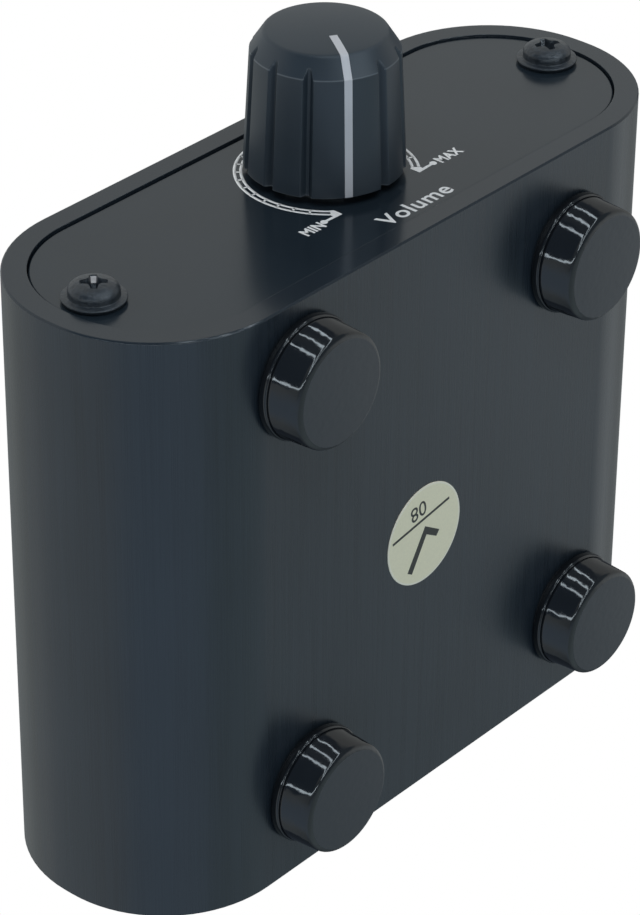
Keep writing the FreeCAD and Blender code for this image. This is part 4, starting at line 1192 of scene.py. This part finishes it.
class CONTROLLER_OT_stage(bpy.types.Operator):
    """Floor, light and camera"""
    bl_idname = "controller.stage"
    bl_label = "Stage"

    def execute(self, context):
        scene = context.scene
        settings = scene.controller_stage
        self.add_camera(scene, settings)
        self.add_surroundings(scene, settings)
        self.add_floor()
        self.add_lights()
        scene.view_settings.view_transform = "Standard"
        return {"FINISHED"}

    def add_camera(self, scene, settings):
        camera = in_scene("camera", bpy.data.cameras.new("camera"))
        camera.location = settings.camera_place
        camera.rotation_euler = settings.camera_turn
        camera.data.lens = settings.lens
        camera.data.sensor_width = 36.0
        camera.data.shift_y = settings.shift_y
        camera.data.clip_start = 0.01
        scene.camera = camera

    def add_surroundings(self, scene, settings):
        """Soft light from all sides, in front of a white backdrop: each wall has its own tone."""
        world = bpy.data.worlds.new("surroundings")
        world.use_nodes = True
        scene.world = world
        graph = Graph(world.node_tree)
        world.node_tree.nodes.clear()
        way = graph.node("ShaderNodeTexCoord", output="Generated")
        tone = ROOM_TONE
        for direction, start, full, wall_tone in WALLS:
            middle = Vector(direction).normalized()
            along = graph.node("ShaderNodeVectorMath", {"operation": "DOT_PRODUCT"},
                               {0: way, 1: middle}, "Value")
            tone = graph.mix(graph.ramp(along, start, full, course="SMOOTHSTEP"), tone, wall_tone)
        seen = graph.node("ShaderNodeLightPath", output="Is Camera Ray")
        light = graph.node("ShaderNodeBackground", inputs={
            "Color": tone, "Strength": settings.surroundings})
        backdrop = graph.node("ShaderNodeBackground", inputs={"Color": (1, 1, 1, 1), "Strength": 1.0})
        shown = graph.node("ShaderNodeMixShader", inputs={0: seen, 1: light, 2: backdrop})
        graph.node("ShaderNodeOutputWorld", inputs={"Surface": shown})

    def add_floor(self):
        """Pale floor, seen only from above, that fades into the backdrop."""
        gap = 0.05 * MM
        shape = bmesh.new()
        bmesh.ops.create_circle(shape, cap_ends=True, segments=96, radius=1.2)
        bmesh.ops.translate(shape, vec=(0, 0, -gap), verts=shape.verts)
        floor = in_scene("floor", mesh_of("floor", shape))
        paint = Finish("pale_floor")
        away = paint.node("ShaderNodeVectorMath", {"operation": "LENGTH"}, {0: paint.place}, "Value")
        fade = paint.ramp(away, 0.25, 1.1, course="SMOOTHSTEP")
        speckle = paint.noise(1.5)
        tone = paint.mix(speckle, (0.80, 0.80, 0.80, 1), (0.84, 0.84, 0.84, 1))
        solid = paint.node("ShaderNodeBsdfPrincipled", inputs={"Base Color": tone, "Roughness": 0.7})
        clear = paint.node("ShaderNodeBsdfTransparent")
        back = paint.node("ShaderNodeNewGeometry", output="Backfacing")
        hidden = back.math("MAXIMUM", fade)
        mixed = paint.node("ShaderNodeMixShader", inputs={0: hidden, 1: solid, 2: clear})
        paint.node("ShaderNodeOutputMaterial", inputs={"Surface": mixed})
        floor.data.materials.append(paint.material)
        for ray in ("diffuse", "glossy", "transmission", "shadow"):
            setattr(floor, "visible_" + ray, False)

    def add_lights(self):
        """Soft boxes above and in front, and strips round the front that gleam on the feet."""
        for name, place, power in SOFT_BOXES:
            self.add_lamp(name, place, SOFT_BOX_SIDE, SOFT_BOX_SIDE, power).visible_glossy = False
        for i, (x, y) in enumerate(STRIP_WAYS):
            aside = Vector((x, y, 0.0)).normalized()
            top, foot = (aside * away + Vector((0, 0, level)) for away, level in (STRIP_TOP, STRIP_FOOT))
            run = top - foot
            strip = self.add_lamp("strip_%d" % (i + 1), (top + foot) / 2, STRIP_WIDTH, run.length, 1.0)
            inwards = aside.cross(Vector((0, 0, 1))).cross(run)
            strip.rotation_euler = inwards.to_track_quat("-Z", "Y").to_euler()
            strip.visible_diffuse = False
            strip.data.color = (0.80, 0.92, 1.0)

    def add_lamp(self, name, place, width, height, power):
        """A rectangular lamp that faces the object."""
        lamp = bpy.data.lights.new(name, "AREA")
        lamp.shape = "RECTANGLE"
        lamp.size, lamp.size_y = width, height
        lamp.energy = power
        light = in_scene(name, lamp)
        light.location = place
        light.rotation_euler = (-Vector(place)).to_track_quat("-Z", "Y").to_euler()
        light.visible_camera = False
        return light


OPERATORS = (CONTROLLER_OT_case, CONTROLLER_OT_screws, CONTROLLER_OT_feet, CONTROLLER_OT_knob,
             CONTROLLER_OT_scale, CONTROLLER_OT_sticker, CONTROLLER_OT_sockets, CONTROLLER_OT_inner_pieces,
             CONTROLLER_OT_stage)


class CONTROLLER_PT_panel(bpy.types.Panel):
    """Sizes, colours and steps of the controller"""
    bl_idname = "CONTROLLER_PT_panel"
    bl_label = "Studio Monitor Controller"
    bl_space_type = "VIEW_3D"
    bl_region_type = "UI"
    bl_category = "Controller"

    def draw(self, context):
        for operator in OPERATORS:
            self.layout.operator(operator.bl_idname)
        for attribute, group in SETTINGS.items():
            box = self.layout.box()
            box.label(text=group.__doc__)
            settings = getattr(context.scene, attribute)
            for name in group.__annotations__:
                box.prop(settings, name)


CLASSES = tuple(SETTINGS.values()) + OPERATORS + (CONTROLLER_PT_panel,)


def register():
    for made in CLASSES:
        bpy.utils.register_class(made)
    for attribute, group in SETTINGS.items():
        setattr(bpy.types.Scene, attribute, PointerProperty(type=group))


def unregister():
    for attribute in SETTINGS:
        delattr(bpy.types.Scene, attribute)
    for made in reversed(CLASSES):
        bpy.utils.unregister_class(made)


def main():
    register()
    for operator in OPERATORS:
        group, name = operator.bl_idname.split(".")
        getattr(getattr(bpy.ops, group), name)()


if __name__ == "__main__":
    main()
